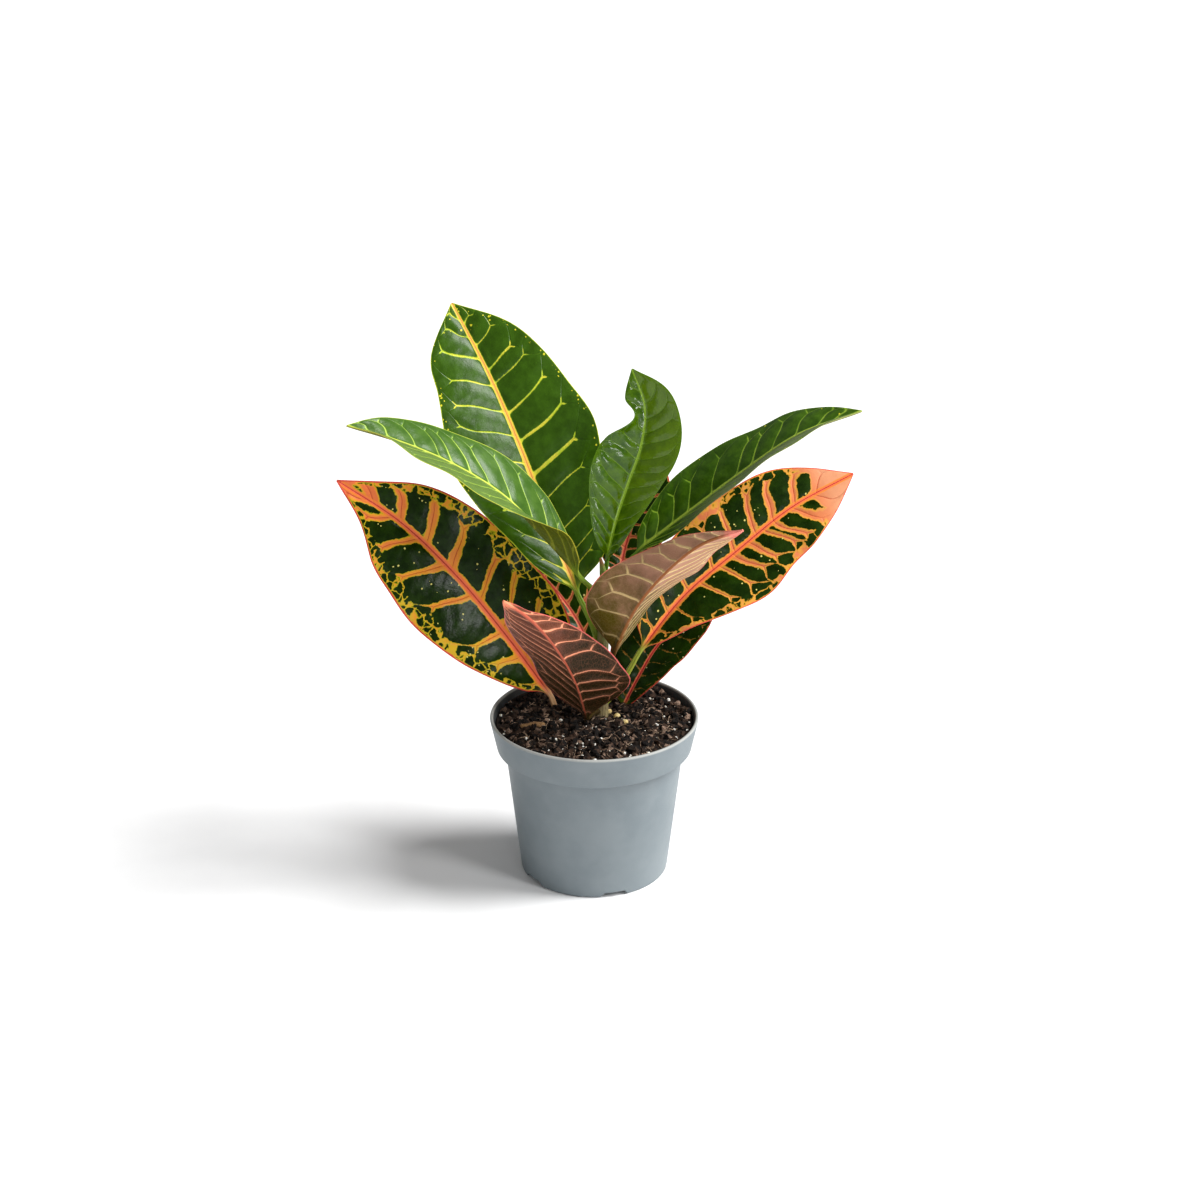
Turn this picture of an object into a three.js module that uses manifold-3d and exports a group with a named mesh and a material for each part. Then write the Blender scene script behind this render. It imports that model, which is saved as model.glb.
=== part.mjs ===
// Potted croton (Codiaeum variegatum) in a 12 cm nursery pot.
// Millimetres, +Z up. The origin is the middle of the pot's foot, on the
// surface that the pot stands on. -Y is the front.
import * as THREE from "three";
import { mergeVertices } from "three/addons/utils/BufferGeometryUtils.js";
import Module from "manifold-3d";

const wasm = await Module();
wasm.setup();

// ---------- driving dimensions ----------
const CLEAR = 0.3; // gap between pieces that touch

const POT_HEIGHT = 96;
const RIM_RADIUS = 60; // outside of the lip
const COLLAR_FOOT_RADIUS = 56.2; // outside of the collar where it ends
const COLLAR_FOOT_Z = 77.6;
const COLLAR_INSIDE_Z = 79.2; // where the inside of the collar starts
const BODY_TOP_RADIUS = 51.1;
const BODY_TOP_Z = 75.2;
const FOOT_RADIUS = 42.6;
const WALL = 1.9;
const FLOOR_Z = 4.2; // inside of the floor
const PAD_RADIUS = 12; // flat pad in the middle of the underside
const CHANNEL_Z = 2.6; // raised ring between pad and foot
const FOOT_RING_INNER = 38.4;
const POT_SEGMENTS = 40;

const DRAIN_COUNT = 7;
const DRAIN_RADIUS = 4;
const DRAIN_CIRCLE = 27;

const NOTCH_COUNT = 5; // gaps in the foot ring
const NOTCH_FIRST_DEG = -74; // the one that shows at the front
const NOTCH_WIDTH = 17;
const NOTCH_TOP_WIDTH = 12;
const NOTCH_HEIGHT = 2.8;

const SOIL_Z = 92; // level of the peat at the wall
const SOIL_MOUND = 1.2; // rise towards the stem
const SOIL_ROUGH = 0.7;
const PERLITE_COUNT = 34;
const PERLITE_SIZE = [0.9, 1.7];
const BIG_GRAINS = [
  // x, y, radius of the large pale grains beside the stem
  [12.9, 2.3, 2.3],
  [17.6, -5.4, 2.1],
  [8.4, 7.4, 1.7],
];
const BARK_CHIP = { at: [-35, -10], size: [15, 5, 3], turn: 0.35 };

const STEM = [
  // centre line and radius
  [3.6, 5.4, 62, 4.4],
  [4, 5, 92, 4.3],
  [4.6, 3.6, 120, 3.7],
  [5.2, 2, 150, 3.1],
  [5.7, 0.8, 172, 2.6],
  [5, -0.4, 184, 2],
  [3.6, -1.6, 193, 0.7],
];

const BLADE = 0.8; // thickness of a leaf
const RIB_DROP = [1.5, 0.35]; // how far the midrib stands out below, base and tip
const CREASE = 0.08; // share of a half's width that rounds over into the midrib
const ALONG = 18; // quads from base to tip
const ACROSS = [-1, -0.64, -0.3, -0.08, 0, 0.08, 0.3, 0.64, 1];
const PETIOLE_SIDES = 8;

// Each list is spread evenly from the base of the blade to its tip.
// rib: the midrib. face: which way the upper side looks. left and right: half
// widths, seen on the upper side with the tip up. foldL and foldR: degrees that
// each half stands up from the flat. curl: degrees that a half turns from
// midrib to margin. wave: height, number and start of the margin's waves.
// petiole: from the stem or the soil to the blade, with its radius.
const LEAVES = {
  leaf_tall: {
    petiole: [[4.9, 2.8, 127], [-0.5, 5, 148]],
    petioleRadius: 1.9,
    rib: [[-9, 10, 166], [-26, 27, 204], [-42, 43, 243], [-60, 60, 281], [-81, 78, 317]],
    face: [[1.5, -8.7, 4.6], [1.5, -8.7, 4.6]],
    left: [1.2, 18, 27, 37, 43, 39, 33, 26, 0.6],
    right: [1.2, 30, 37.5, 41.5, 45, 40, 33.5, 22.5, 0.6],
    foldL: [30, 12, 12, 12, 10],
    foldR: [30, 12, 12, 12, 10],
    curl: -16,
    wave: [0.9, 4, 0.1],
    colour: 0x2f5f22,
  },
  leaf_left: {
    petiole: [[5.5, 1.2, 163], [0, -1, 173]],
    petioleRadius: 1.7,
    rib: [[-6, -2, 181], [-28, -7, 209], [-50, -11, 234], [-76, -15, 253], [-104, -18, 267], [-133, -20, 277]],
    face: [[0.3, -0.3, 1], [0.4, -0.1, 1], [0.4, -0.1, 1]],
    left: [1, 12, 20, 25, 27, 26, 22, 13, 0.5],
    right: [1, 12, 24, 27, 26, 24, 21, 14, 0.5],
    foldL: [80, 77, 43, 15, 8, 10, 12, 26, 30],
    foldR: [60, 32, 20, 22, 21, 20, 17, 24, 40],
    curl: -12,
    wave: [0.5, 4, 0.3],
    colour: 0x5c8f4e,
  },
  leaf_young: {
    petiole: [[5.6, 0.9, 175]],
    petioleRadius: 1.5,
    rib: [[7, 4, 189], [12, 7, 211], [19, 10, 233], [26, 12, 254], [28, 15, 276], [21, 18, 297]],
    face: [[-2.2, -9.5, 1.5], [-2.2, -9.5, 1.5]],
    left: [1, 10.6, 17.1, 22.3, 23.6, 20, 6.3, 9.6, 0.5],
    right: [1, 8.8, 13.7, 17.7, 21, 24.3, 22.4, 15.7, 0.5],
    foldL: [30, 15],
    foldR: [30, 15],
    curl: -14,
    wave: [0.5, 3, 0.6],
    colour: 0x4e8418,
  },
  leaf_right: {
    petiole: [[5.6, 1.2, 163], [12, 0.2, 178]],
    petioleRadius: 1.6,
    rib: [[21, 2, 193], [51, 4, 217], [81, 5, 241], [112, 6, 263], [147, 8, 276]],
    face: [[-0.3, -0.3, 1], [-0.4, -0.1, 1]],
    left: [1, 14, 23, 26.5, 26, 23, 21, 13.5, 0.5],
    right: [1, 12, 20, 25, 26, 24, 19, 12, 0.5],
    foldL: [60, 30, 22, 15, 12, 30],
    foldR: [30, 14, 20, 22, 23, 22, 20, 25, 30],
    curl: -12,
    wave: [0.5, 4, 0.8],
    colour: 0x3c6e2a,
  },
  leaf_orange_left: {
    petiole: [[-21.5, 20, 74], [-22.5, 20, 88]],
    petioleRadius: 2,
    rib: [[-25, 20, 98], [-51, 24, 135], [-79, 29, 170], [-110, 33, 201], [-146, 37, 225]],
    face: [[2, -9.3, 3.1], [2, -9.3, 3.1]],
    left: [1.3, 18.4, 29.7, 36.3, 38.3, 34.8, 28.3, 12.3, 0.5],
    right: [1.3, 30, 38.7, 38.2, 37.2, 33.6, 26.5, 13.2, 0.5],
    foldL: [25, 10, 10],
    foldR: [25, 10, 10],
    curl: -14,
    wave: [0.8, 5, 0],
    colour: 0xb8642c,
  },
  leaf_orange_right: {
    petiole: [[4.1, 4.7, 99.5], [13.5, 5, 110]],
    petioleRadius: 1.8,
    rib: [[26, 4, 134], [51, 13, 164], [81, 22, 188], [112, 31, 211], [147, 40, 228]],
    face: [[-1, -9, 4.5], [-1, -9, 4.5]],
    left: [1.2, 17.5, 25.5, 29.5, 30.5, 29, 24.7, 14, 0.5],
    right: [1.2, 12.7, 21.7, 28.3, 31.5, 27.3, 24.6, 15.8, 0.5],
    foldL: [30, 10, 10],
    foldR: [30, 10, 10],
    curl: -14,
    wave: [0.7, 5, 0.4],
    colour: 0xc46a3c,
  },
  leaf_front_right: {
    petiole: [[4.7, 3.2, 120], [8, -4, 127]],
    petioleRadius: 1.6,
    rib: [[11, -8, 138], [22, -22, 170], [38, -35, 197], [57, -48, 219], [79, -62, 233]],
    face: [[0.2, 8.7, 4.8], [0.2, 8.7, 4.8]],
    left: [1, 16, 22, 24, 22, 19, 14, 8, 0.5],
    right: [1, 23.5, 27, 23, 18, 13.5, 9, 4.5, 0.5],
    foldL: [50, 50, 47, 37, 26, 20, 20, 15, 12],
    foldR: [25, 28, 30, 60, 69, 79, 92, 105, 110],
    curl: 10,
    wave: [0.4, 4, 0.2],
    colour: 0x7a5a45,
  },
  leaf_front_left: {
    petiole: [[4, 4.9, 97], [-1, -4, 98]],
    petioleRadius: 1.6,
    rib: [[-4, -12, 100], [-10, -28, 129], [-20, -44, 156], [-33, -59, 179], [-48, -75, 198]],
    face: [[0.5, 8.3, 5.5], [0.5, 8.3, 5.5]],
    left: [6, 28, 26.5, 21.5, 17, 12, 7, 4, 0.5],
    right: [1, 19, 23, 23, 23, 23, 18, 9.4, 0.5],
    foldL: [20, 20, 25, 54, 68, 83, 100, 108, 110],
    foldR: [20, 20, 18, 18, 16, 16, 16, 16, 16],
    curl: 10,
    wave: [0.4, 4, 0.7],
    colour: 0x6b4038,
  },
  leaf_low_right: {
    petiole: [[15, 16, 74], [15.5, 16.5, 85]],
    petioleRadius: 1.6,
    rib: [[16, 17, 91], [26, 22, 110], [37, 30, 126], [55, 38, 143], [74, 46, 154]],
    face: [[-3, -9, 4], [-3, -9, 4]],
    left: [1, 12, 19.5, 23.5, 24, 20, 15, 9, 0.5],
    right: [1, 7, 12, 16, 18, 18, 16, 10, 0.5],
    foldL: [20, 12],
    foldR: [20, 12],
    curl: -12,
    wave: [0.5, 4, 0.5],
    colour: 0x243d14,
  },
  leaf_back: {
    petiole: [[5.1, 2.2, 146], [9.5, 11, 158]],
    petioleRadius: 1.5,
    rib: [[15, 22, 172], [17, 30, 184], [22, 37, 199], [29, 43, 216], [36, 50, 238]],
    face: [[-1, -9, 4], [-1, -9, 4]],
    left: [1, 10, 15, 18, 19, 17, 13, 8, 0.5],
    right: [1, 10, 16, 20, 21, 20, 17, 11, 0.5],
    foldL: [20, 12],
    foldR: [20, 12],
    curl: -12,
    wave: [0.5, 4, 0.9],
    colour: 0x2c4a1a,
  },
  leaf_low_left: {
    petiole: [[4.3, 4.2, 104], [1.8, 8, 110]],
    petioleRadius: 1.5,
    rib: [[-1, 15, 118.5], [-6, 37, 129.5], [-17, 53, 143], [-31, 63, 156], [-46, 71, 165]],
    face: [[3, -9, 5], [3, -9, 5]],
    left: [1, 9, 14, 17, 18, 16, 12, 7, 0.5],
    right: [1, 6, 10, 14, 17, 16, 12, 7, 0.5],
    foldL: [20, 12],
    foldR: [20, 12],
    curl: -12,
    wave: [0.5, 4, 0.2],
    colour: 0x2a4517,
  },
};

// ---------- helpers ----------
const radians = THREE.MathUtils.degToRad;

// The value at share t of a list of numbers or points, by a smooth curve
// through them.
function along(list, t) {
  if (Array.isArray(list[0]))
    return list[0].map((_, axis) => along(list.map((row) => row[axis]), t));
  const last = list.length - 1;
  const x = Math.min(Math.max(t, 0), 1) * last;
  const i = Math.min(Math.floor(x), last - 1);
  const u = x - i;
  const b = list[i];
  const c = list[i + 1];
  const a = i > 0 ? list[i - 1] : 2 * b - c;
  const d = i + 2 <= last ? list[i + 2] : 2 * c - b;
  return b + 0.5 * u * (c - a + u * (2 * a - 5 * b + 4 * c - d + u * (3 * (b - c) + d - a)));
}

// A closed geometry as a solid that can be joined and cut.
function solid(geometry) {
  const bare = new THREE.BufferGeometry();
  const flat = geometry.index ? geometry : mergeVertices(geometry);
  bare.setAttribute("position", flat.getAttribute("position"));
  bare.setIndex(flat.index);
  const merged = mergeVertices(bare, 1e-4);
  return new wasm.Manifold(
    new wasm.Mesh({
      numProp: 3,
      vertProperties: merged.attributes.position.array,
      triVerts: new Uint32Array(merged.index.array),
    }),
  );
}

// The largest body of a solid, without the scraps that a cut leaves.
function largest(made) {
  return made.decompose().sort((a, b) => b.volume() - a.volume())[0];
}

function geometryOf(made) {
  const mesh = made.getMesh();
  const geometry = new THREE.BufferGeometry();
  const positions = new Float32Array(mesh.numVert * 3);
  for (let i = 0; i < mesh.numVert; i++)
    positions.set(mesh.vertProperties.subarray(i * mesh.numProp, i * mesh.numProp + 3), i * 3);
  geometry.setAttribute("position", new THREE.BufferAttribute(positions, 3));
  geometry.setIndex(new THREE.BufferAttribute(mesh.triVerts, 1));
  geometry.computeVertexNormals();
  return geometry;
}

function piece(name, made, colour, roughness) {
  const mesh = new THREE.Mesh(
    geometryOf(made),
    new THREE.MeshStandardMaterial({ color: colour, roughness, metalness: 0 }),
  );
  mesh.name = name;
  return mesh;
}

// A repeatable random number in [0, 1).
function randomFrom(seed) {
  let state = seed;
  return () => {
    state = (state * 1664525 + 1013904223) % 4294967296;
    return state / 4294967296;
  };
}

// A round bar along points, whose radius changes from point to point. It is
// a CylinderGeometry bent along the line.
function bar(points, radii, sides, segments) {
  const geometry = new THREE.CylinderGeometry(1, 1, 1, sides, segments);
  const curve = new THREE.CatmullRomCurve3(points.map((p) => new THREE.Vector3(...p)));
  const frames = curve.computeFrenetFrames(segments, false);
  const position = geometry.getAttribute("position");
  for (let i = 0; i < position.count; i++) {
    const t = 0.5 + position.getY(i);
    const k = Math.round(t * segments);
    const radius = along(radii, t);
    const at = curve.getPointAt(k / segments);
    at.addScaledVector(frames.normals[k], position.getX(i) * radius);
    at.addScaledVector(frames.binormals[k], -position.getZ(i) * radius);
    position.setXYZ(i, at.x, at.y, at.z);
  }
  const bare = new THREE.BufferGeometry();
  bare.setAttribute("position", position);
  bare.setIndex(geometry.index);
  const made = solid(bare);
  if (made.volume() > 0) return made;
  const index = bare.index.array;
  for (let i = 0; i < index.length; i += 3) [index[i + 1], index[i + 2]] = [index[i + 2], index[i + 1]];
  return solid(bare);
}

// ---------- leaves ----------
// One half's cross section: how far out and up a point at share s of its
// width lies, and the slope there.
function section(fold, curl, s) {
  const arc = (from, to, length) => {
    const half = (to - from) / 2;
    const chord = length * (Math.abs(half) > 1e-4 ? Math.sin(half) / half : 1);
    return [chord * Math.cos(from + half), chord * Math.sin(from + half)];
  };
  const start = fold - curl / 2 + curl * CREASE;
  if (s <= CREASE) {
    const slope = (start * s) / CREASE;
    return [...arc(0, slope, s), slope];
  }
  const inner = arc(0, start, CREASE);
  const slope = start + curl * (s - CREASE);
  const outer = arc(start, slope, s - CREASE);
  return [inner[0] + outer[0], inner[1] + outer[1], slope];
}

// A point on the leaf's middle surface and the direction of its upper side.
function leafPoint(leaf, t, across) {
  const step = 1e-3;
  const side = across < 0 ? -1 : 1;
  const s = Math.abs(across);
  const at = new THREE.Vector3(...along(leaf.rib, t));
  const ahead = new THREE.Vector3(...along(leaf.rib, Math.min(t + step, 1)));
  const behind = new THREE.Vector3(...along(leaf.rib, Math.max(t - step, 0)));
  const forward = ahead.sub(behind).normalize();
  const up = new THREE.Vector3(...along(leaf.face, t));
  up.addScaledVector(forward, -up.dot(forward)).normalize();
  const out = new THREE.Vector3().crossVectors(forward, up).multiplyScalar(side);

  const width = along(side < 0 ? leaf.left : leaf.right, t);
  const fold = radians(along(side < 0 ? leaf.foldL : leaf.foldR, t));
  const [x, y, slope] = section(fold, radians(leaf.curl), s);
  const normal = up
    .clone()
    .multiplyScalar(Math.cos(slope))
    .addScaledVector(out, -Math.sin(slope));
  const [height, count, start] = leaf.wave;
  const wave =
    height * s * s * Math.sin(2 * Math.PI * (count * t + start + (side < 0 ? 0.37 : 0))) *
    Math.min(1, 1.5 * Math.sin(Math.PI * t));
  at.addScaledVector(out, x * width).addScaledVector(up, y * width).addScaledVector(normal, wave);
  return [at, normal];
}

// The blade: two sheets split alike into triangles, and the margin between.
function blade(leaf) {
  const columns = ACROSS.length;
  const rows = ALONG + 1;
  const grid = new THREE.PlaneGeometry(1, 1, columns - 1, ALONG);
  const count = columns * rows;
  const positions = new Float32Array(count * 6);
  for (let row = 0; row < rows; row++)
    for (let column = 0; column < columns; column++) {
      const t = row / ALONG;
      const s = ACROSS[column];
      const [at, normal] = leafPoint(leaf, t, s);
      const rib = s === 0 ? THREE.MathUtils.lerp(RIB_DROP[0], RIB_DROP[1], t) : 0;
      const i = row * columns + column;
      positions.set(at.clone().addScaledVector(normal, BLADE / 2).toArray(), i * 3);
      positions.set(at.clone().addScaledVector(normal, -BLADE / 2 - rib).toArray(), (count + i) * 3);
    }
  const top = [...grid.index.array];
  const index = [];
  for (let i = 0; i < top.length; i += 3) {
    const [a, b, c] = [top[i], top[i + 1], top[i + 2]];
    index.push(a, c, b, count + a, count + b, count + c);
  }
  const border = [];
  for (let c = 0; c < columns - 1; c++) border.push(c);
  for (let r = 0; r < rows - 1; r++) border.push(r * columns + columns - 1);
  for (let c = columns - 1; c > 0; c--) border.push((rows - 1) * columns + c);
  for (let r = rows - 1; r > 0; r--) border.push(r * columns);
  border.forEach((a, i) => {
    const b = border[(i + 1) % border.length];
    index.push(a, count + a, b, b, count + a, count + b);
  });
  const geometry = new THREE.BufferGeometry();
  geometry.setAttribute("position", new THREE.BufferAttribute(positions, 3));
  geometry.setIndex(index);
  return solid(geometry);
}

function petiole(leaf) {
  const radius = leaf.petioleRadius;
  const end = leafPoint(leaf, 0.05, 0);
  const into = end[0].addScaledVector(end[1], -BLADE / 2 - RIB_DROP[0] / 2).toArray();
  const base = leafPoint(leaf, 0, 0);
  const seat = base[0].addScaledVector(base[1], -BLADE / 2 - 0.4).toArray();
  return bar(
    [...leaf.petiole, seat, into],
    [radius * 1.25, radius, radius * 0.95, radius * 0.8, radius * 0.35],
    PETIOLE_SIDES,
    8,
  );
}

// ---------- pot ----------
function lathe(profile, segments) {
  const points = profile.map(([r, z]) => new THREE.Vector2(r, z));
  const geometry = new THREE.LatheGeometry(points, segments).rotateX(Math.PI / 2);
  geometry.deleteAttribute("normal");
  geometry.deleteAttribute("uv");
  return geometry;
}

function makePot() {
  const lip = POT_HEIGHT;
  const innerFoot = FOOT_RADIUS - WALL + (BODY_TOP_RADIUS - FOOT_RADIUS) * (FLOOR_Z / BODY_TOP_Z);
  let pot = solid(
    lathe(
      [
        [0, 0],
        [PAD_RADIUS, 0],
        [PAD_RADIUS + 1.4, CHANNEL_Z],
        [FOOT_RING_INNER - 1, CHANNEL_Z],
        [FOOT_RING_INNER, 0],
        [FOOT_RADIUS - 0.6, 0],
        [FOOT_RADIUS, 0.8],
        [BODY_TOP_RADIUS, BODY_TOP_Z - 0.6],
        [BODY_TOP_RADIUS + 0.7, BODY_TOP_Z + 0.2],
        [COLLAR_FOOT_RADIUS - 0.9, COLLAR_FOOT_Z - 0.7],
        [COLLAR_FOOT_RADIUS - 0.1, COLLAR_FOOT_Z - 0.2],
        [COLLAR_FOOT_RADIUS, COLLAR_FOOT_Z + 0.3],
        [RIM_RADIUS - 0.15, lip - 1],
        [RIM_RADIUS - 0.5, lip - 0.2],
        [RIM_RADIUS - 1.1, lip],
        [RIM_RADIUS - 1.8, lip - 0.2],
        [RIM_RADIUS - 2.2, lip - 1],
        [COLLAR_FOOT_RADIUS - WALL, COLLAR_INSIDE_Z],
        [BODY_TOP_RADIUS - WALL + 0.6, BODY_TOP_Z + 2.6],
        [BODY_TOP_RADIUS - WALL, BODY_TOP_Z + 0.4],
        [innerFoot, FLOOR_Z + 0.8],
        [innerFoot - 0.8, FLOOR_Z],
        [0, FLOOR_Z],
      ],
      POT_SEGMENTS,
    ),
  );
  for (let i = 0; i < DRAIN_COUNT; i++) {
    const angle = radians(NOTCH_FIRST_DEG + ((i + 0.5) * 360) / DRAIN_COUNT);
    const hole = new THREE.CylinderGeometry(DRAIN_RADIUS, DRAIN_RADIUS, 12, 12).rotateX(Math.PI / 2);
    hole.translate(DRAIN_CIRCLE * Math.cos(angle), DRAIN_CIRCLE * Math.sin(angle), FLOOR_Z);
    pot = pot.subtract(solid(hole));
  }
  const trapezoid = new THREE.Shape([
    new THREE.Vector2(-NOTCH_WIDTH / 2 - 0.6, -1),
    new THREE.Vector2(NOTCH_WIDTH / 2 + 0.6, -1),
    new THREE.Vector2(NOTCH_TOP_WIDTH / 2, NOTCH_HEIGHT),
    new THREE.Vector2(-NOTCH_TOP_WIDTH / 2, NOTCH_HEIGHT),
  ]);
  for (let i = 0; i < NOTCH_COUNT; i++) {
    const notch = new THREE.ExtrudeGeometry(trapezoid, { depth: 12, bevelEnabled: false });
    notch.rotateX(Math.PI / 2).rotateZ(Math.PI).translate(0, FOOT_RING_INNER - 3, 0);
    notch.rotateZ(radians(NOTCH_FIRST_DEG - 90 + (i * 360) / NOTCH_COUNT));
    pot = pot.subtract(solid(notch));
  }
  return pot;
}

// ---------- soil ----------
function soilHeight(x, y) {
  const r = Math.hypot(x, y);
  const fade = Math.min(1, Math.max(0, (53 - r) / 12));
  const lumps =
    Math.sin(0.23 * x + 1.1) * Math.cos(0.19 * y - 0.4) +
    0.6 * Math.sin(0.47 * x - 0.39 * y) +
    0.4 * Math.cos(0.71 * y + 0.33 * x + 2);
  return SOIL_Z + SOIL_MOUND * fade * (1 - (r / 60) ** 2) + SOIL_ROUGH * fade * lumps;
}

function makeSoil(stemRoom, rooms) {
  const collarSlope = (RIM_RADIUS - 2.2 - COLLAR_FOOT_RADIUS + WALL) / (POT_HEIGHT - 1 - COLLAR_INSIDE_Z);
  const wallAt = (z) =>
    z < BODY_TOP_Z
      ? FOOT_RADIUS - WALL - 0.35 + ((BODY_TOP_RADIUS - FOOT_RADIUS) * z) / BODY_TOP_Z
      : COLLAR_FOOT_RADIUS - WALL + collarSlope * (z - COLLAR_INSIDE_Z);
  const top = SOIL_Z;
  const rings = [45, 36, 27, 18, 9];
  const profile = [
    [0, FLOOR_Z + CLEAR],
    [wallAt(FLOOR_Z) - 1.6, FLOOR_Z + CLEAR],
    [wallAt(FLOOR_Z + 1.5) - 0.6, FLOOR_Z + 1.7],
    [wallAt(BODY_TOP_Z - 1) - 0.45, BODY_TOP_Z - 1],
    [BODY_TOP_RADIUS - WALL - 0.4, BODY_TOP_Z + 2.7],
    [COLLAR_FOOT_RADIUS - WALL - 0.8, COLLAR_INSIDE_Z + 0.3],
    [wallAt(top - 2) - 0.4, top - 2],
    [wallAt(top - 2) - 0.9, top],
    ...rings.map((r) => [r, top]),
    [0, top],
  ];
  const geometry = mergeVertices(lathe(profile, 40), 1e-4);
  const position = geometry.getAttribute("position");
  for (let i = 0; i < position.count; i++)
    if (position.getZ(i) > top - 0.5) position.setZ(i, soilHeight(position.getX(i), position.getY(i)));
  let soil = solid(geometry);

  const random = randomFrom(12);
  const grains = [];
  while (grains.length < PERLITE_COUNT) {
    const r = 50 * Math.sqrt(random());
    const angle = 2 * Math.PI * random();
    const size = THREE.MathUtils.lerp(PERLITE_SIZE[0], PERLITE_SIZE[1], random());
    const spin = random() * 3;
    const x = r * Math.cos(angle);
    const y = r * Math.sin(angle);
    const near = BIG_GRAINS.some(([gx, gy, gr]) => Math.hypot(x - gx, y - gy) < gr + size + 1);
    const hole = Math.hypot(x - 4, y - 5) < 9 || Math.hypot(x + 22, y - 20) < 6 || Math.hypot(x - 15, y - 16) < 6;
    const chip = Math.hypot(x - BARK_CHIP.at[0], y - BARK_CHIP.at[1]) < 10;
    if (near || hole || chip) continue;
    grains.push([x, y, size, spin]);
  }
  BIG_GRAINS.forEach(([x, y, size], i) => grains.push([x, y, size, i]));
  for (const [x, y, size, spin] of grains) {
    const grain = new THREE.OctahedronGeometry(size * 1.15, 0).scale(1, 0.85, 0.8).rotateX(spin).rotateZ(2 * spin);
    grain.translate(x, y, soilHeight(x, y) + 0.35 * size);
    soil = soil.add(solid(grain));
  }
  const chip = new THREE.BoxGeometry(...BARK_CHIP.size).rotateY(0.12).rotateZ(BARK_CHIP.turn);
  chip.translate(...BARK_CHIP.at, soilHeight(...BARK_CHIP.at) + 0.4);
  soil = soil.add(solid(chip));

  soil = soil.subtract(stemRoom);
  for (const room of rooms) soil = soil.subtract(room);
  return largest(soil);
}

// ---------- assembly ----------
const stemPoints = STEM.map(([x, y, z]) => [x, y, z]);
const stemRadii = STEM.map((row) => row[3]);
const stem = bar(stemPoints, stemRadii, 12, 18);
const below = [STEM[0][0] - 0.1, STEM[0][1] + 0.1, STEM[0][2] - 4];
const stemRoom = bar([below, ...stemPoints], [stemRadii[0], ...stemRadii].map((r) => r + CLEAR), 12, 22);

const plant = new THREE.Group();
plant.name = "potted_croton";

const soilRooms = [];
for (const [name, leaf] of Object.entries(LEAVES)) {
  const inSoil = leaf.petiole[0][2] < SOIL_Z - 5;
  let made = blade(leaf).add(petiole(leaf));
  if (inSoil) {
    const [x, y, z] = leaf.petiole[0];
    const room = leaf.petioleRadius * 1.25 + CLEAR + 0.2;
    soilRooms.push(
      bar([[x, y, z - CLEAR], ...leaf.petiole.slice(1), leaf.rib[0], along(leaf.rib, 0.1)],
        [room, room, room + 0.2, room + 0.4, room + 0.6], 10, 10),
    );
  } else made = made.subtract(stemRoom);
  plant.add(piece(name, made, leaf.colour, 0.35));
}
plant.add(piece("stem", stem, 0x6f7a3c, 0.6));
plant.add(piece("soil", makeSoil(stemRoom, soilRooms), 0x2a211c, 0.95));
plant.add(piece("pot", makePot(), 0x7f8c92, 0.5));

export default plant;
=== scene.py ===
"""Potted croton in a 12 cm nursery pot: the looks.

Lengths are in millimetres in this script and become metres where a mesh is
made. +Z is up, the pot's foot stands on z = 0 and -Y is the front.
"""
import math
from types import SimpleNamespace

import bmesh
import bpy
import numpy as np
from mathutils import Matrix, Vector


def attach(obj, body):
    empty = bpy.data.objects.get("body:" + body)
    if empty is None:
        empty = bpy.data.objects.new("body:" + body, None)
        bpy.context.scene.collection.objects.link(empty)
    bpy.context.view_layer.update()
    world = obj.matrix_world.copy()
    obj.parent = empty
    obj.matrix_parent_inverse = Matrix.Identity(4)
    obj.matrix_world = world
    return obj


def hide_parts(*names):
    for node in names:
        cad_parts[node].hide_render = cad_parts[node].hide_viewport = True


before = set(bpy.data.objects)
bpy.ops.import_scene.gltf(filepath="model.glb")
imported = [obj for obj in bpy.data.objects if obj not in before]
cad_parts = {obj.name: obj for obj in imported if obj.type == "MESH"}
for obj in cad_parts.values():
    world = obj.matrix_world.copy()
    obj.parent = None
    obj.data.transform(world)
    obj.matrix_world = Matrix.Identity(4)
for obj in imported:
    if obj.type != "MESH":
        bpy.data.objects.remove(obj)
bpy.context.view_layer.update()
MM = 0.001

# ---------- sizes that the looks share with the frame ----------
POT_HEIGHT = 96.0
RIM_RADIUS = 60.0
COLLAR_FOOT_RADIUS = 56.2
COLLAR_FOOT_Z = 77.6
COLLAR_INSIDE_Z = 79.2
BODY_TOP_RADIUS = 51.1
BODY_TOP_Z = 75.2
FOOT_RADIUS = 42.6
WALL = 1.9
FLOOR_Z = 4.2
PAD_RADIUS = 12.0
CHANNEL_Z = 2.6
FOOT_RING_INNER = 38.4
DRAIN_COUNT = 7
DRAIN_RADIUS = 4.0
DRAIN_CIRCLE = 27.0
NOTCH_COUNT = 5
NOTCH_FIRST_DEG = -74.0
NOTCH_WIDTH = 17.0
NOTCH_TOP_WIDTH = 12.0
NOTCH_HEIGHT = 2.8
SOIL_Z = 92.0
SOIL_MOUND = 1.2
SOIL_ROUGH = 0.7
BIG_GRAINS = [(12.9, 2.3, 2.3), (17.6, -5.4, 2.1), (8.4, 7.4, 1.7)]

STEM = [
    # centre line and radius
    (3.6, 5.4, 62, 4.4), (4, 5, 92, 4.3), (4.6, 3.6, 120, 3.7), (5.2, 2, 150, 3.1),
    (5.7, 0.8, 172, 2.6), (5, -0.4, 184, 2), (3.6, -1.6, 193, 0.7),
]

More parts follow.
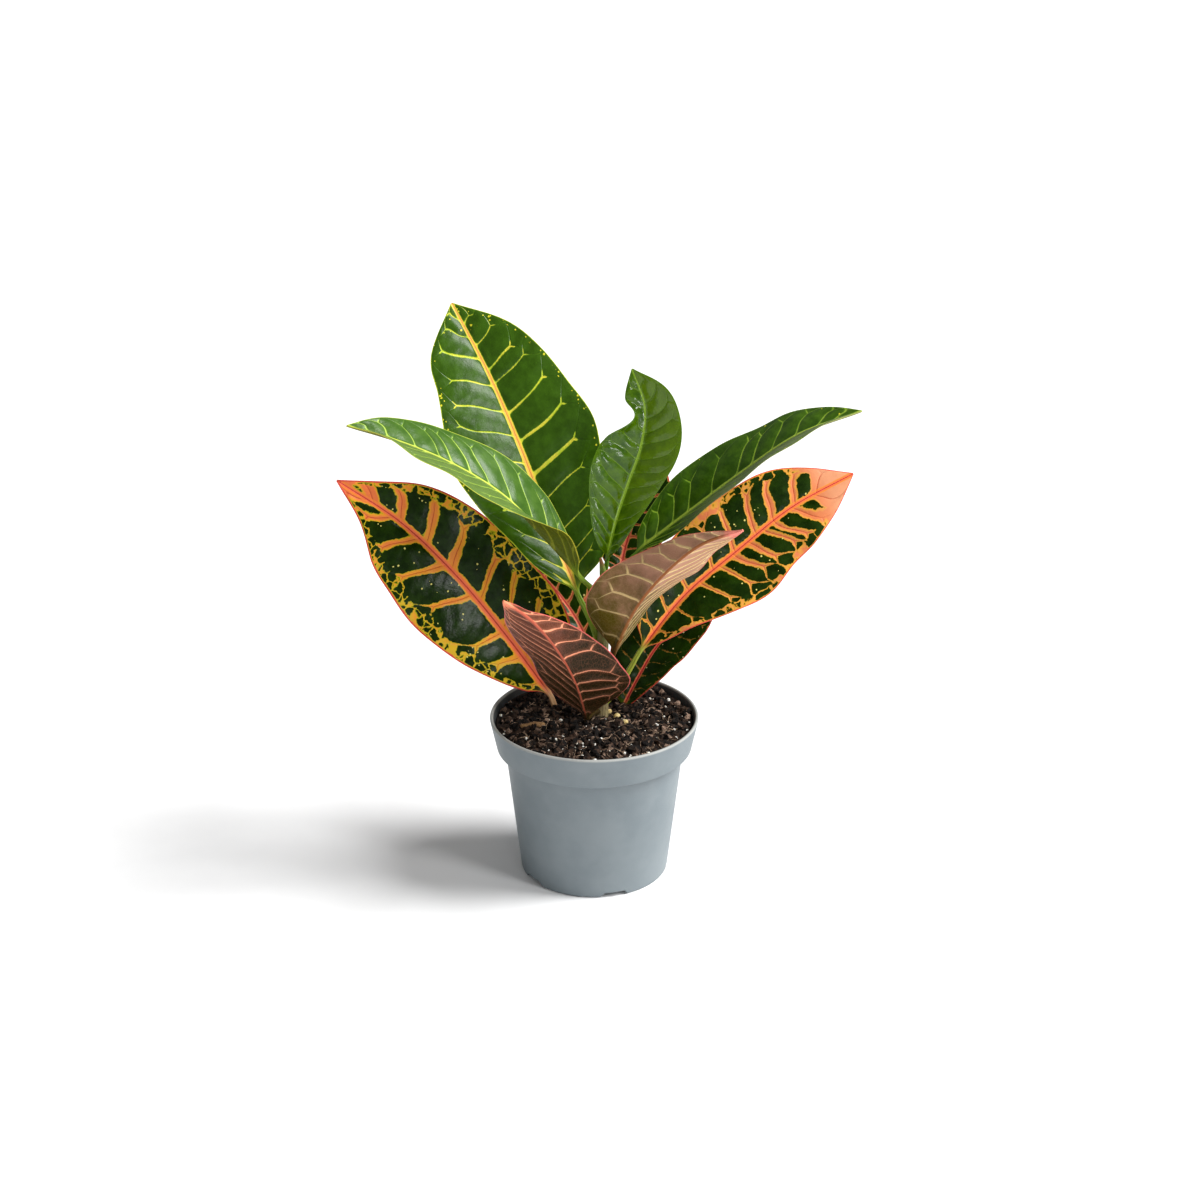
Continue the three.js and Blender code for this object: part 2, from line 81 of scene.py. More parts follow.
BLADE = 0.55  # thickness of a leaf
RIB_DROP = (1.5, 0.35)  # how far the midrib stands out below, base and tip
QUARTER_TURN = math.radians(86)  # how far round a petiole each quarter of its section goes
CREASE = 0.08  # share of a half's width over which it folds up
BLADE_ROWS = 190
HALF_COLUMNS = 34
PETIOLE_ROWS = 26

# Each list is spread evenly from the base of the blade to its tip. left and right are the widths of
# the halves, fold_ how steeply they rise in degrees, curl how far they turn over their width, wave the
# height, count and start of the margin's waves, quilt how far the blade is puffed up between veins,
# and roll where, over which share and how far it rolls up beside a notch. veins_: where a half's side
# veins leave the midrib (share of the length), how far they have moved to the tip when they are at the
# margin, at which share of the width they fork, and how broad each is beside the others.
FOLDED_VEINS = dict(start=[0.05, 0.14, 0.23, 0.32, 0.41, 0.5, 0.6, 0.7, 0.8, 0.9],
                    lean=[0.2, 0.22, 0.2, 0.12], reach=[0.75, 0.8, 0.8])
LOW_VEINS_LEFT = dict(start=[0.08, 0.18, 0.29, 0.4, 0.52, 0.63, 0.74, 0.85],
                      lean=[0.08, 0.1, 0.08, 0.05], reach=[0.7, 0.75, 0.75])
LOW_VEINS_RIGHT = dict(LOW_VEINS_LEFT, start=[0.06, 0.16, 0.27, 0.38, 0.49, 0.6, 0.72, 0.84])
LEAVES = {
    "leaf_tall": dict(
        petiole=[(4.9, 2.8, 127), (-0.5, 5, 148)], radius=1.9,
        rib=[(-9, 10, 166), (-26, 27, 204), (-42, 43, 243), (-60, 60, 281), (-81, 78, 317)],
        face=[(1.5, -8.7, 4.6), (1.5, -8.7, 4.6)],
        left=[1.2, 18, 27, 37, 43, 39, 33, 26, 0.6],
        right=[1.2, 30, 37.5, 41.5, 45, 40, 33.5, 22.5, 0.6],
        fold_left=[30, 12, 12, 12, 10], fold_right=[30, 12, 12, 12, 10],
        curl=-16, wave=(0.9, 4, 0.1), quilt=0.5, look="green",
        veins_left=dict(start=[0.07, 0.15, 0.25, 0.35, 0.445, 0.54, 0.62, 0.71, 0.80, 0.88, 0.94],
                        lean=[0.14, 0.15, 0.13, 0.12, 0.1, 0.05], reach=[0.6, 0.68, 0.7, 0.7, 0.62],
                        power=[0.4, 0.5, 0.9, 0.6, 0.55, 0.7, 0.7, 0.7, 1.0, 0.5, 0.4]),
        veins_right=dict(start=[0.06, 0.12, 0.19, 0.31, 0.40, 0.51, 0.61, 0.71, 0.76, 0.845, 0.92],
                         lean=[0.1, 0.1, 0.11, 0.09, 0.07, 0.04], reach=[0.6, 0.62, 0.68, 0.64, 0.4],
                         power=[0.4, 0.4, 0.45, 0.6, 1.4, 1.1, 0.9, 0.5, 0.8, 0.4, 0.4]),
    ),
    "leaf_left": dict(
        petiole=[(5.5, 1.2, 163), (0, -1, 173)], radius=1.7,
        rib=[(-6, -2, 181), (-28, -7, 209), (-50, -11, 234), (-76, -15, 253), (-104, -18, 267),
             (-133, -20, 277)],
        face=[(0.3, -0.3, 1), (0.4, -0.1, 1), (0.4, -0.1, 1)],
        left=[1, 12, 20, 25, 27, 26, 22, 13, 0.5],
        right=[1, 12, 24, 27, 26, 24, 21, 14, 0.5],
        fold_left=[80, 77, 43, 15, 8, 10, 12, 26, 30],
        fold_right=[60, 32, 20, 22, 21, 20, 17, 24, 40],
        curl=-12, wave=(0.5, 4, 0.3), quilt=0.32, look="light_green",
        veins_left=FOLDED_VEINS,
        veins_right=dict(start=[0.06, 0.15, 0.25, 0.36, 0.455, 0.53, 0.6, 0.65, 0.745, 0.84, 0.91],
                         lean=[0.16, 0.17, 0.16, 0.13, 0.1, 0.06], reach=[0.7, 0.74, 0.7, 0.76]),
    ),
    "leaf_young": dict(
        petiole=[(5.6, 0.9, 175)], radius=1.5,
        rib=[(7, 4, 189), (12, 7, 211), (19, 10, 233), (26, 12, 254), (28, 15, 276), (21, 18, 297)],
        face=[(-2.2, -9.5, 1.5), (-2.2, -9.5, 1.5)],
        left=[1, 10.6, 17.1, 22.3, 23.6, 20, 6.3, 9.6, 0.5],
        right=[1, 8.8, 13.7, 17.7, 21, 24.3, 22.4, 15.7, 0.5],
        fold_left=[30, 15], fold_right=[30, 15],
        curl=-14, wave=(0.5, 3, 0.6), quilt=0.36, roll=(0.7, 0.09, 3.0), look="fresh_green",
        veins_left=dict(start=[0.05, 0.12, 0.2, 0.28, 0.36, 0.44, 0.53, 0.6, 0.68, 0.78, 0.88],
                        lean=[0.12, 0.12, 0.1, 0.07], reach=[0.75, 0.8, 0.75]),
        veins_right=dict(start=[0.06, 0.13, 0.21, 0.29, 0.373, 0.453, 0.533, 0.61, 0.67, 0.74, 0.82, 0.9],
                         lean=[0.06, 0.07, 0.1, 0.11, 0.1, 0.06], reach=[0.7, 0.74, 0.82, 0.7]),
    ),
    "leaf_right": dict(
        petiole=[(5.6, 1.2, 163), (12, 0.2, 178)], radius=1.6,
        rib=[(21, 2, 193), (51, 4, 217), (81, 5, 241), (112, 6, 263), (147, 8, 276)],
        face=[(-0.3, -0.3, 1), (-0.4, -0.1, 1)],
        left=[1, 14, 23, 26.5, 26, 23, 21, 13.5, 0.5],
        right=[1, 12, 20, 25, 26, 24, 19, 12, 0.5],
        fold_left=[60, 30, 22, 15, 12, 30],
        fold_right=[30, 14, 20, 22, 23, 22, 20, 25, 30],
        curl=-12, wave=(0.5, 4, 0.8), quilt=0.38, look="deep_green",
        veins_left=dict(start=[0.06, 0.115, 0.19, 0.26, 0.37, 0.48, 0.55, 0.64, 0.74, 0.83, 0.9],
                        lean=[0.07, 0.1, 0.13, 0.15, 0.12, 0.1, 0.06], reach=[0.6, 0.62, 0.7, 0.72]),
        veins_right=FOLDED_VEINS,
    ),
    "leaf_orange_left": dict(
        petiole=[(-21.5, 20, 74), (-22.5, 20, 88)], radius=2.0,
        rib=[(-25, 20, 98), (-51, 24, 135), (-79, 29, 170), (-110, 33, 201), (-146, 37, 225)],
        face=[(2, -9.3, 3.1), (2, -9.3, 3.1)],
        left=[1.3, 18.4, 29.7, 36.3, 38.3, 34.8, 28.3, 12.3, 0.5],
        right=[1.3, 30, 38.7, 38.2, 37.2, 33.6, 26.5, 13.2, 0.5],
        fold_left=[25, 10, 10], fold_right=[25, 10, 10],
        curl=-14, wave=(0.8, 5, 0), quilt=0.45, look="orange_left",
        veins_left=dict(start=[0.05, 0.165, 0.26, 0.42, 0.55, 0.675, 0.78, 0.88],
                        lean=[0.03, 0.05, 0.09, 0.12, 0.14, 0.1], reach=[0.5, 0.55, 0.6, 0.68, 0.55, 0.5]),
        veins_right=dict(start=[0.06, 0.15, 0.27, 0.39, 0.52, 0.64, 0.75, 0.86],
                         lean=[0.2, 0.18, 0.13, 0.12, 0.08, 0.05], reach=[0.8, 0.75, 0.62, 0.7, 0.68, 0.85]),
    ),
    "leaf_orange_right": dict(
        petiole=[(4.1, 4.7, 99.5), (13.5, 5, 110)], radius=1.8,
        rib=[(26, 4, 134), (51, 13, 164), (81, 22, 188), (112, 31, 211), (147, 40, 228)],
        face=[(-1, -9, 4.5), (-1, -9, 4.5)],
        left=[1.2, 17.5, 25.5, 29.5, 30.5, 29, 24.7, 14, 0.5],
        right=[1.2, 12.7, 21.7, 28.3, 31.5, 27.3, 24.6, 15.8, 0.5],
        fold_left=[30, 10, 10], fold_right=[30, 10, 10],
        curl=-14, wave=(0.7, 5, 0.4), quilt=0.4, look="orange_right",
        veins_left=dict(start=[0.08, 0.165, 0.273, 0.39, 0.49, 0.59, 0.67, 0.76, 0.85],
                        lean=[0.06, 0.07, 0.08, 0.09, 0.07, 0.05], reach=[0.5, 0.55, 0.75, 0.72, 0.72, 0.8]),
        veins_right=dict(start=[0.09, 0.195, 0.325, 0.412, 0.48, 0.545, 0.618, 0.665, 0.745, 0.84],
                         lean=[0.05, 0.04, 0.09, 0.1, 0.11, 0.09],
                         reach=[0.6, 0.6, 0.62, 0.6, 0.7, 0.78, 0.8]),
    ),
    "leaf_front_right": dict(
        petiole=[(4.7, 3.2, 120), (8, -4, 127)], radius=1.6,
        rib=[(11, -8, 138), (22, -22, 170), (38, -35, 197), (57, -48, 219), (79, -62, 233)],
        face=[(0.2, 8.7, 4.8), (0.2, 8.7, 4.8)],
        left=[1, 16, 22, 24, 22, 19, 14, 8, 0.5],
        right=[1, 23.5, 27, 23, 18, 13.5, 9, 4.5, 0.5],
        fold_left=[50, 50, 47, 37, 26, 20, 20, 15, 12],
        fold_right=[25, 28, 30, 60, 69, 79, 92, 105, 110],
        curl=10, wave=(0.4, 4, 0.2), quilt=0.45, look="purple_right",
        veins_left=dict(start=[0.05, 0.12, 0.19, 0.26, 0.34, 0.42, 0.5, 0.58, 0.67, 0.76, 0.86],
                        lean=[0.3, 0.35, 0.3, 0.2, 0.1], reach=[0.8, 0.85, 0.85]),
        veins_right=dict(start=[0.09, 0.215, 0.315, 0.43, 0.52, 0.605, 0.698, 0.79, 0.87],
                         lean=[0, -0.06, -0.11, -0.13, -0.12, -0.09, -0.04],
                         reach=[0.5, 0.62, 0.58, 0.66, 0.72, 0.7, 0.7]),
    ),
    "leaf_front_left": dict(
        petiole=[(4, 4.9, 97), (-1, -4, 98)], radius=1.6,
        rib=[(-4, -12, 100), (-10, -28, 129), (-20, -44, 156), (-33, -59, 179), (-48, -75, 198)],
        face=[(0.5, 8.3, 5.5), (0.5, 8.3, 5.5)],
        left=[6, 28, 26.5, 21.5, 17, 12, 7, 4, 0.5],
        right=[1, 19, 23, 23, 23, 23, 18, 9.4, 0.5],
        fold_left=[20, 20, 25, 54, 68, 83, 100, 108, 110],
        fold_right=[20, 20, 18, 18, 16, 16, 16, 16, 16],
        curl=10, wave=(0.4, 4, 0.7), quilt=0.45, look="purple_left",
        veins_left=dict(start=[0.05, 0.13, 0.19, 0.25, 0.315, 0.438, 0.55, 0.667, 0.76, 0.86],
                        lean=[-0.02, -0.07, -0.11, -0.16, -0.19, -0.16, -0.08],
                        reach=[0.62, 0.66, 0.7, 0.72, 0.75, 0.75]),
        veins_right=dict(start=[0.05, 0.11, 0.18, 0.25, 0.32, 0.4, 0.48, 0.56, 0.65, 0.75, 0.86],
                         lean=[0.2, 0.33, 0.38, 0.33, 0.22, 0.1], reach=[0.7, 0.75, 0.75, 0.75],
                         power=[0.2, 0.5, 0.2, 0.7, 0.25, 0.9, 0.3, 0.8, 0.25, 0.7, 0.3]),
    ),
    "leaf_low_right": dict(
        petiole=[(15, 16, 74), (15.5, 16.5, 85)], radius=1.6,
        rib=[(16, 17, 91), (26, 22, 110), (37, 30, 126), (55, 38, 143), (74, 46, 154)],
        face=[(-3, -9, 4), (-3, -9, 4)],
        left=[1, 12, 19.5, 23.5, 24, 20, 15, 9, 0.5],
        right=[1, 7, 12, 16, 18, 18, 16, 10, 0.5],
        fold_left=[20, 12], fold_right=[20, 12],
        curl=-12, wave=(0.5, 4, 0.5), quilt=0.3, look="dark_red",
        veins_left=dict(LOW_VEINS_LEFT, reach=[0.6, 0.7, 0.7]),
        veins_right=dict(start=[0.06, 0.14, 0.25, 0.36, 0.47, 0.58, 0.7, 0.82, 0.9],
                         lean=[0.08, 0.1, 0.08, 0.05], reach=[0.6, 0.7, 0.7]),
    ),
    "leaf_back": dict(
        petiole=[(5.1, 2.2, 146), (9.5, 11, 158)], radius=1.5,
        rib=[(15, 22, 172), (17, 30, 184), (22, 37, 199), (29, 43, 216), (36, 50, 238)],
        face=[(-1, -9, 4), (-1, -9, 4)],
        left=[1, 10, 15, 18, 19, 17, 13, 8, 0.5],
        right=[1, 10, 16, 20, 21, 20, 17, 11, 0.5],
        fold_left=[20, 12], fold_right=[20, 12],
        curl=-12, wave=(0.5, 4, 0.9), quilt=0.3, look="dark_salmon",
        veins_left=LOW_VEINS_LEFT,
        veins_right=dict(LOW_VEINS_RIGHT, reach=[0.8, 0.85, 0.85]),
    ),
    "leaf_low_left": dict(
        petiole=[(4.3, 4.2, 104), (1.8, 8, 110)], radius=1.5,
        rib=[(-1, 15, 118.5), (-6, 37, 129.5), (-17, 53, 143), (-31, 63, 156), (-46, 71, 165)],
        face=[(3, -9, 5), (3, -9, 5)],
        left=[1, 9, 14, 17, 18, 16, 12, 7, 0.5],
        right=[1, 6, 10, 14, 17, 16, 12, 7, 0.5],
        fold_left=[20, 12], fold_right=[20, 12],
        curl=-12, wave=(0.5, 4, 0.2), quilt=0.3, look="dark_salmon",
        veins_left=LOW_VEINS_LEFT,
        veins_right=LOW_VEINS_RIGHT,
    ),
}


# ---------- curves and surfaces ----------
PATH_STEPS = 24  # points between two of a path's own points, before it is spread evenly


def along(values, t):
    """The value at share t of a list of numbers or points, by a smooth curve through them."""
    rows = np.array(values, float)
    flat = rows.ndim == 1
    if flat:
        rows = rows[:, None]
    last = len(rows) - 1
    x = np.clip(np.asarray(t, float), 0, 1) * last
    i = np.minimum(x.astype(int), last - 1)
    u = (x - i)[..., None]
    padded = np.vstack([2 * rows[0] - rows[1], rows, 2 * rows[-1] - rows[-2]])
    a, b, c, d = (padded[i + k] for k in range(4))
    made = b + 0.5 * u * (c - a + u * (2 * a - 5 * b + 4 * c - d + u * (3 * (b - c) + d - a)))
    return made[..., 0] if flat else made


def unit(v):
    return v / np.linalg.norm(v, axis=-1, keepdims=True)


def smooth(x, low, high):
    """0 below low, 1 above high, with a smooth step between."""
    k = np.clip((np.asarray(x, float) - low) / (high - low), 0, 1)
    return k * k * (3 - 2 * k)


def circle(count):
    """count angles, evenly round a circle."""
    return np.arange(count) * 2 * math.pi / count


def part_way(a, b, start, end, k):
    return ((end - k) * a + (k - start) * b) / (end - start)


def smooth_path(points, count):
    """count points, evenly spread, on a smooth curve through points that may lie unevenly."""
    p = np.array(points, float)
    p = np.vstack([2 * p[0] - p[1], p, 2 * p[-1] - p[-2]])
    knots = np.concatenate([[0], np.cumsum(np.sqrt(np.linalg.norm(np.diff(p, axis=0), axis=1)))])
    fine = []
    for i in range(1, len(p) - 2):
        t0, t1, t2, t3 = knots[i - 1:i + 3]
        for k in np.linspace(t1, t2, PATH_STEPS, endpoint=i == len(p) - 3):
            a1 = part_way(p[i - 1], p[i], t0, t1, k)
            a2 = part_way(p[i], p[i + 1], t1, t2, k)
            a3 = part_way(p[i + 1], p[i + 2], t2, t3, k)
            b1 = part_way(a1, a2, t0, t2, k)
            b2 = part_way(a2, a3, t1, t3, k)
            fine.append(part_way(b1, b2, t1, t2, k))
    fine = np.array(fine)
    run = np.concatenate([[0], np.cumsum(np.linalg.norm(np.diff(fine, axis=0), axis=1))])
    wanted = np.linspace(0, run[-1], count)
    return np.stack([np.interp(wanted, run, fine[:, k]) for k in range(3)], 1)


def arc(start, end, length):
    """How far out and up an arc goes whose slope turns from start to end."""
    half = (end - start) / 2
    chord = length * np.sinc(half / math.pi)
    return chord * np.cos(start + half), chord * np.sin(start + half)


def section(fold, curl, s):
    """One half's cross section at share s of its width: how far out and up, and the slope there."""
    start = fold - curl / 2 + curl * CREASE
    near = np.minimum(s, CREASE)
    far = np.maximum(s - CREASE, 0)
    near_slope = start * near / CREASE
    x1, y1 = arc(0 * start, near_slope, near)
    far_slope = start + curl * far
    x2, y2 = arc(start, far_slope, far)
    return x1 + x2, y1 + y2, np.where(s <= CREASE, near_slope, far_slope)


def leaf_axes(leaf, t):
    """Midrib point, forward, up and right at share t of the blade."""
    step = 1e-3
    forward = unit(along(leaf["rib"], np.minimum(t + step, 1)) - along(leaf["rib"], np.maximum(t - step, 0)))
    up = along(leaf["face"], t)
    up = unit(up - (up * forward).sum(-1, keepdims=True) * forward)
    return along(leaf["rib"], t), forward, up, np.cross(forward, up)


def by_half(leaf, left, right, across, t):
    """One of two settings of a leaf: left where across is below 0, right elsewhere."""
    return np.where(across < 0, along(leaf[left], t), along(leaf[right], t))


def leaf_surface(leaf, t, across):
    """Points on the leaf's middle surface and the direction of its upper side."""
    at, _, up, right = leaf_axes(leaf, t)
    left_half = across < 0
    out = right * np.where(left_half, -1.0, 1.0)[..., None]
    s = np.abs(across)
    width = by_half(leaf, "left", "right", across, t)
    fold = np.radians(by_half(leaf, "fold_left", "fold_right", across, t))
    x, y, slope = section(fold, math.radians(leaf["curl"]), s)
    normal = up * np.cos(slope)[..., None] - out * np.sin(slope)[..., None]
    height, count, start = leaf["wave"]
    turn = 2 * math.pi * (count * t + start + np.where(left_half, 0.37, 0))
    wave = height * s * s * np.sin(turn) * np.minimum(1, 1.5 * np.sin(math.pi * t))
    point = at + out * (x * width)[..., None] + up * (y * width)[..., None] + normal * wave[..., None]
    return point, normal


def vein_fields(leaf, side, t, s, length, width):
    """How a point in a half lies to its side veins: phase is a whole number on each vein, spacing is
    the distance between veins square to them, reach is the share of the width at which the nearest
    one forks, and power is how broad it is beside the others."""
    veins = leaf["veins_" + side]
    given = len(veins["start"])
    start = np.array([-0.12, -0.03, *veins["start"], 1.0, 1.1, 1.2])
    lean = along(veins["lean"], np.clip(start, 0, 1))
    random = np.random.default_rng(int(1000 * leaf["rib"][0][2]) + len(side))
    sway = random.uniform(-1, 1, (2, len(start)))
    power = random.uniform(0.7, 1.25, len(start))
    reach = along(veins["reach"], np.clip(start, 0, 1)) + random.uniform(-0.05, 0.05, len(start))
    if "power" in veins:
        power[2:2 + given] = veins["power"]
    s = s[..., None]
    lines = start + lean * s * (0.8 + 0.2 * s)
    lines += 0.008 * np.sin(3.2 * s + 3 * sway[0]) * s ** 0.5 + 0.005 * sway[1] * np.sin(9 * s + sway[0])
    gaps = np.maximum(np.diff(lines, axis=-1), 0.015)
    phase = np.clip((t[..., None] - lines[..., :-1]) / gaps, 0, 1).sum(-1)
    between = np.clip(phase.astype(int), 0, len(start) - 2)
    gap = np.take_along_axis(gaps, between[..., None], -1)[..., 0]
    slope = np.take(lean, between) * length / np.maximum(width, 1)
    spacing = gap * length / np.sqrt(1 + slope ** 2)
    nearest = np.clip(np.round(phase).astype(int), 0, len(start) - 1)
    return phase, spacing, np.take(reach, nearest), np.take(power, nearest)


# ---------- bodies and meshes ----------
def closed_body(rings, low, high):
    """Points and faces of a closed body: rings of points, and a middle point at each end."""
    rows, size = rings.shape[:2]
    c = np.arange(size)
    n = (c + 1) % size
    start = np.arange(rows - 1)[:, None] * size
    quads = np.stack([start + c, start + n, start + size + n, start + size + c], -1).reshape(-1, 4)
    last = (rows - 1) * size
    low_cap = np.stack([n, c, np.full(size, rows * size)], -1)
    high_cap = np.stack([last + c, last + n, np.full(size, rows * size + 1)], -1)
    faces = quads.tolist() + low_cap.tolist() + high_cap.tolist()
    return np.vstack([rings.reshape(-1, 3), low, high]), faces


def turned_rings(profile, segments, middle=(0, 0)):
    """A ring of points for each (radius, z) of a profile."""
    turn = circle(segments)
    rows = np.array(profile, float)
    r, z = rows[:, :1], rows[:, 1:]
    return np.stack([middle[0] + r * np.cos(turn), middle[1] + r * np.sin(turn), z + 0 * turn], -1)


def turned_body(profile, segments, middle=(0, 0)):
    """profile: (radius, z) from the middle of the underside round to the middle inside."""
    low, high = ((*middle, profile[k][1]) for k in (0, -1))
    return closed_body(turned_rings(profile[1:-1], segments, middle), low, high)


def tube_body(path, radii, sides, bumps=1.0):
    """A closed tube on a path of points, with rounded ends. bumps: factors on its radius."""
    tangent = unit(np.gradient(path, axis=0))
    u = unit(np.cross(tangent[0], [0.3, 1, 0.1]))
    radius = radii[:, None] * (bumps * np.ones(sides))
    turn = circle(sides)
    rings = []
    for middle, way, r in zip(path, tangent, radius):
        u = unit(u - (u @ way) * way)
        v = np.cross(way, u)
        rings.append(middle + (r * np.cos(turn))[:, None] * u + (r * np.sin(turn))[:, None] * v)
    low = path[0] - tangent[0] * radii[0] * 0.3
    high = path[-1] + tangent[-1] * radii[-1] * 0.5
    return closed_body(np.array(rings), low, high)


def merged(bodies):
    """Many bodies' points and faces as one body's."""
    points, faces, count = [], [], 0
    for body_points, body_faces in bodies:
        points.append(body_points)
        faces += [[i + count for i in face] for face in body_faces]
        count += len(body_points)
    return np.concatenate(points), faces


def new_mesh(name, body, materials=(), face_slots=None, smooth_faces=True):
    """An object from a body's points, in millimetres, and faces."""
    points, faces = body
    mesh = bpy.data.meshes.new(name)
    mesh.from_pydata((np.asarray(points, float) * MM).tolist(), [], faces)
    for material in materials:
        mesh.materials.append(material)
    if face_slots is not None:
        mesh.polygons.foreach_set("material_index", face_slots.astype(np.int32))
    mesh.polygons.foreach_set("use_smooth", np.full(len(faces), smooth_faces))
    mesh.update()
    made = bpy.data.objects.new(name, mesh)
    bpy.context.scene.collection.objects.link(made)
    return made


def belongs(piece, slot, *nodes):
    """The piece rides on the one body and stands for the nodes, whose own parts are hidden. slot: not used.
    """
    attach(piece, "root")
    if nodes:
        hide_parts(*nodes)


# ---------- leaf meshes ----------
LUMP_HEIGHT = 0.09  # of the slow waves in a blade
EDGE_COLUMNS = (0.985, 0.9955)  # two more columns of points close to the margin
NO_VEIN = dict(phase=0.5, spacing=20.0, reach=0.9, power=1.0)  # on the petiole
FAR_FROM_EDGE = 20.0
PETIOLE_SHARES = (0, 0.08, 0.25, 0.7, 1)
PETIOLE_RADII = (1.55, 1.35, 1.0, 0.9, 0.8)  # at those shares, beside the leaf's own radius
SEED_STEP = 61.7  # moves each leaf to another place in the noises
SIDES = ("left", "right")


def leaf_columns():
    """Where the columns of points lie: -1 is the left margin, 0 the midrib, 1 the right margin."""
    inner = (np.arange(HALF_COLUMNS + 1) / HALF_COLUMNS) ** 1.25
    half = np.sort(np.concatenate([inner, EDGE_COLUMNS]))
    return np.concatenate([-half[:0:-1], half])


def blade_relief(leaf, t, a, width, length, phase, ends):
    """How far the blade is pushed up: puffed between the veins, lumpy, rolled beside a notch."""
    s = np.abs(a)
    mm_along = t * length
    mm_across = a * width
    puff = np.sqrt(np.sin(math.pi * phase) ** 2 + 0.015)
    room = smooth(s * width, 0.6, 4.5) * (1 - smooth(s, 0.72, 0.98)) * ends
    lumps = np.sin(0.31 * mm_along + 2.1 * np.sin(0.17 * mm_across) + 1) * np.sin(0.27 * mm_across + 0.5)
    lumps += 0.6 * np.sin(0.63 * mm_along - 0.41 * mm_across + 2 * np.sin(0.2 * mm_along))
    relief = leaf["quilt"] * 1.5 * (puff - 0.5) * room + LUMP_HEIGHT * lumps * room
    if "roll" in leaf:
        roll_at, roll_half, roll_mm = leaf["roll"]
        near_notch = np.exp(-((t - roll_at) / roll_half) ** 2) * (a < 0)
        relief += roll_mm * near_notch * smooth(s, 0.35, 1.0) ** 1.5
    return relief


def blade_sides(leaf, t, a, width, length, phase):
    """The blade's upper and lower side, with a groove along the midrib and the rib below it."""
    s = np.abs(a)
    from_rib = s * width
    ends = smooth(t, 0.0, 0.08) * (1 - smooth(t, 0.93, 1))
    relief = blade_relief(leaf, t, a, width, length, phase, ends)
    thick = BLADE * (1 - 0.62 * smooth(s, 0.94, 1)) * (1 - 0.2 * smooth(t, 0.96, 1))
    drop = RIB_DROP[0] + (RIB_DROP[1] - RIB_DROP[0]) * t
    rib_half = 1.5 - 0.8 * t
    ridge = drop * np.clip(1 - (from_rib / (1.35 * rib_half)) ** 2, 0, 1) ** 1.5
    groove = 0.12 * np.exp(-(from_rib / 0.5) ** 2) - 0.16 * np.exp(-(from_rib / (1.25 * rib_half)) ** 2)
    middle, normal = leaf_surface(leaf, t, a)
    top = middle + normal * (thick / 2 + relief - groove * ends)[..., None]
    bottom = middle + normal * (-thick / 2 + relief - ridge)[..., None]
    return top, bottom


def round_sides(across, middle, radius, right, up, dent=1.0):
    """The upper and the lower half of a round section at each middle point."""
    angle = across * QUARTER_TURN
    side = np.sin(angle)[None, :, None] * right[:, None, :]
    rise = np.cos(angle)[None, :, None] * up[:, None, :]
    middle = middle[:, None, :]
    radius = radius[:, None, None]
    return middle + radius * (side + rise * dent), middle + radius * (side - rise)


def petiole_sides(leaf, across, seat, forward, up):
    """The petiole up to the seat of the blade, with a shallow groove on top, and its path."""
    path = smooth_path([*leaf["petiole"], seat[0], seat[4]], PETIOLE_ROWS + 12)
    stop = np.linalg.norm(path - seat[0], axis=1).argmin()
    path = np.vstack([path[:stop], seat[0]])
    tangent = unit(np.gradient(path, axis=0))
    tangent[-1] = forward
    share = np.linspace(0, 1, len(path))
    radius = leaf["radius"] * np.interp(share, PETIOLE_SHARES, PETIOLE_RADII)
    up = unit(up - (tangent @ up)[:, None] * tangent)
    dent = 1 - 0.16 * np.exp(-(across / 0.3) ** 2)[None, :] * smooth(share, 0.1, 0.4)[:, None]
    return *round_sides(across, path, radius, np.cross(tangent, up), up, dent[..., None]), path


def ring_values(petiole, blade, petiole_rows):
    """A value at every point of a leaf: its petiole, its blade, and the same again underneath."""
    grid = np.vstack([np.broadcast_to(petiole, (petiole_rows, blade.shape[1])), blade])
    both = np.concatenate([grid, grid[:, ::-1]], axis=1).ravel()
    return np.concatenate([both, both[:1], both[-1:]])


def left_corners(mesh, rows, columns):
    """Which corners of a leaf's faces are in its left half."""
    corners = np.empty(len(mesh.polygons), np.int32)
    mesh.polygons.foreach_get("loop_total", corners)
    size = 2 * columns
    column = np.tile(np.arange(size), rows + 1)
    middle = columns // 2
    is_left = np.where(column < columns, column < middle, column >= size - 1 - middle)
    return np.repeat(is_left, corners)


def corner_vectors(mesh, name, *values):
    layer = mesh.attributes.new(name, "FLOAT_VECTOR", "CORNER")
    layer.data.foreach_set("vector", np.ascontiguousarray(np.stack(values, -1), np.float32).ravel())


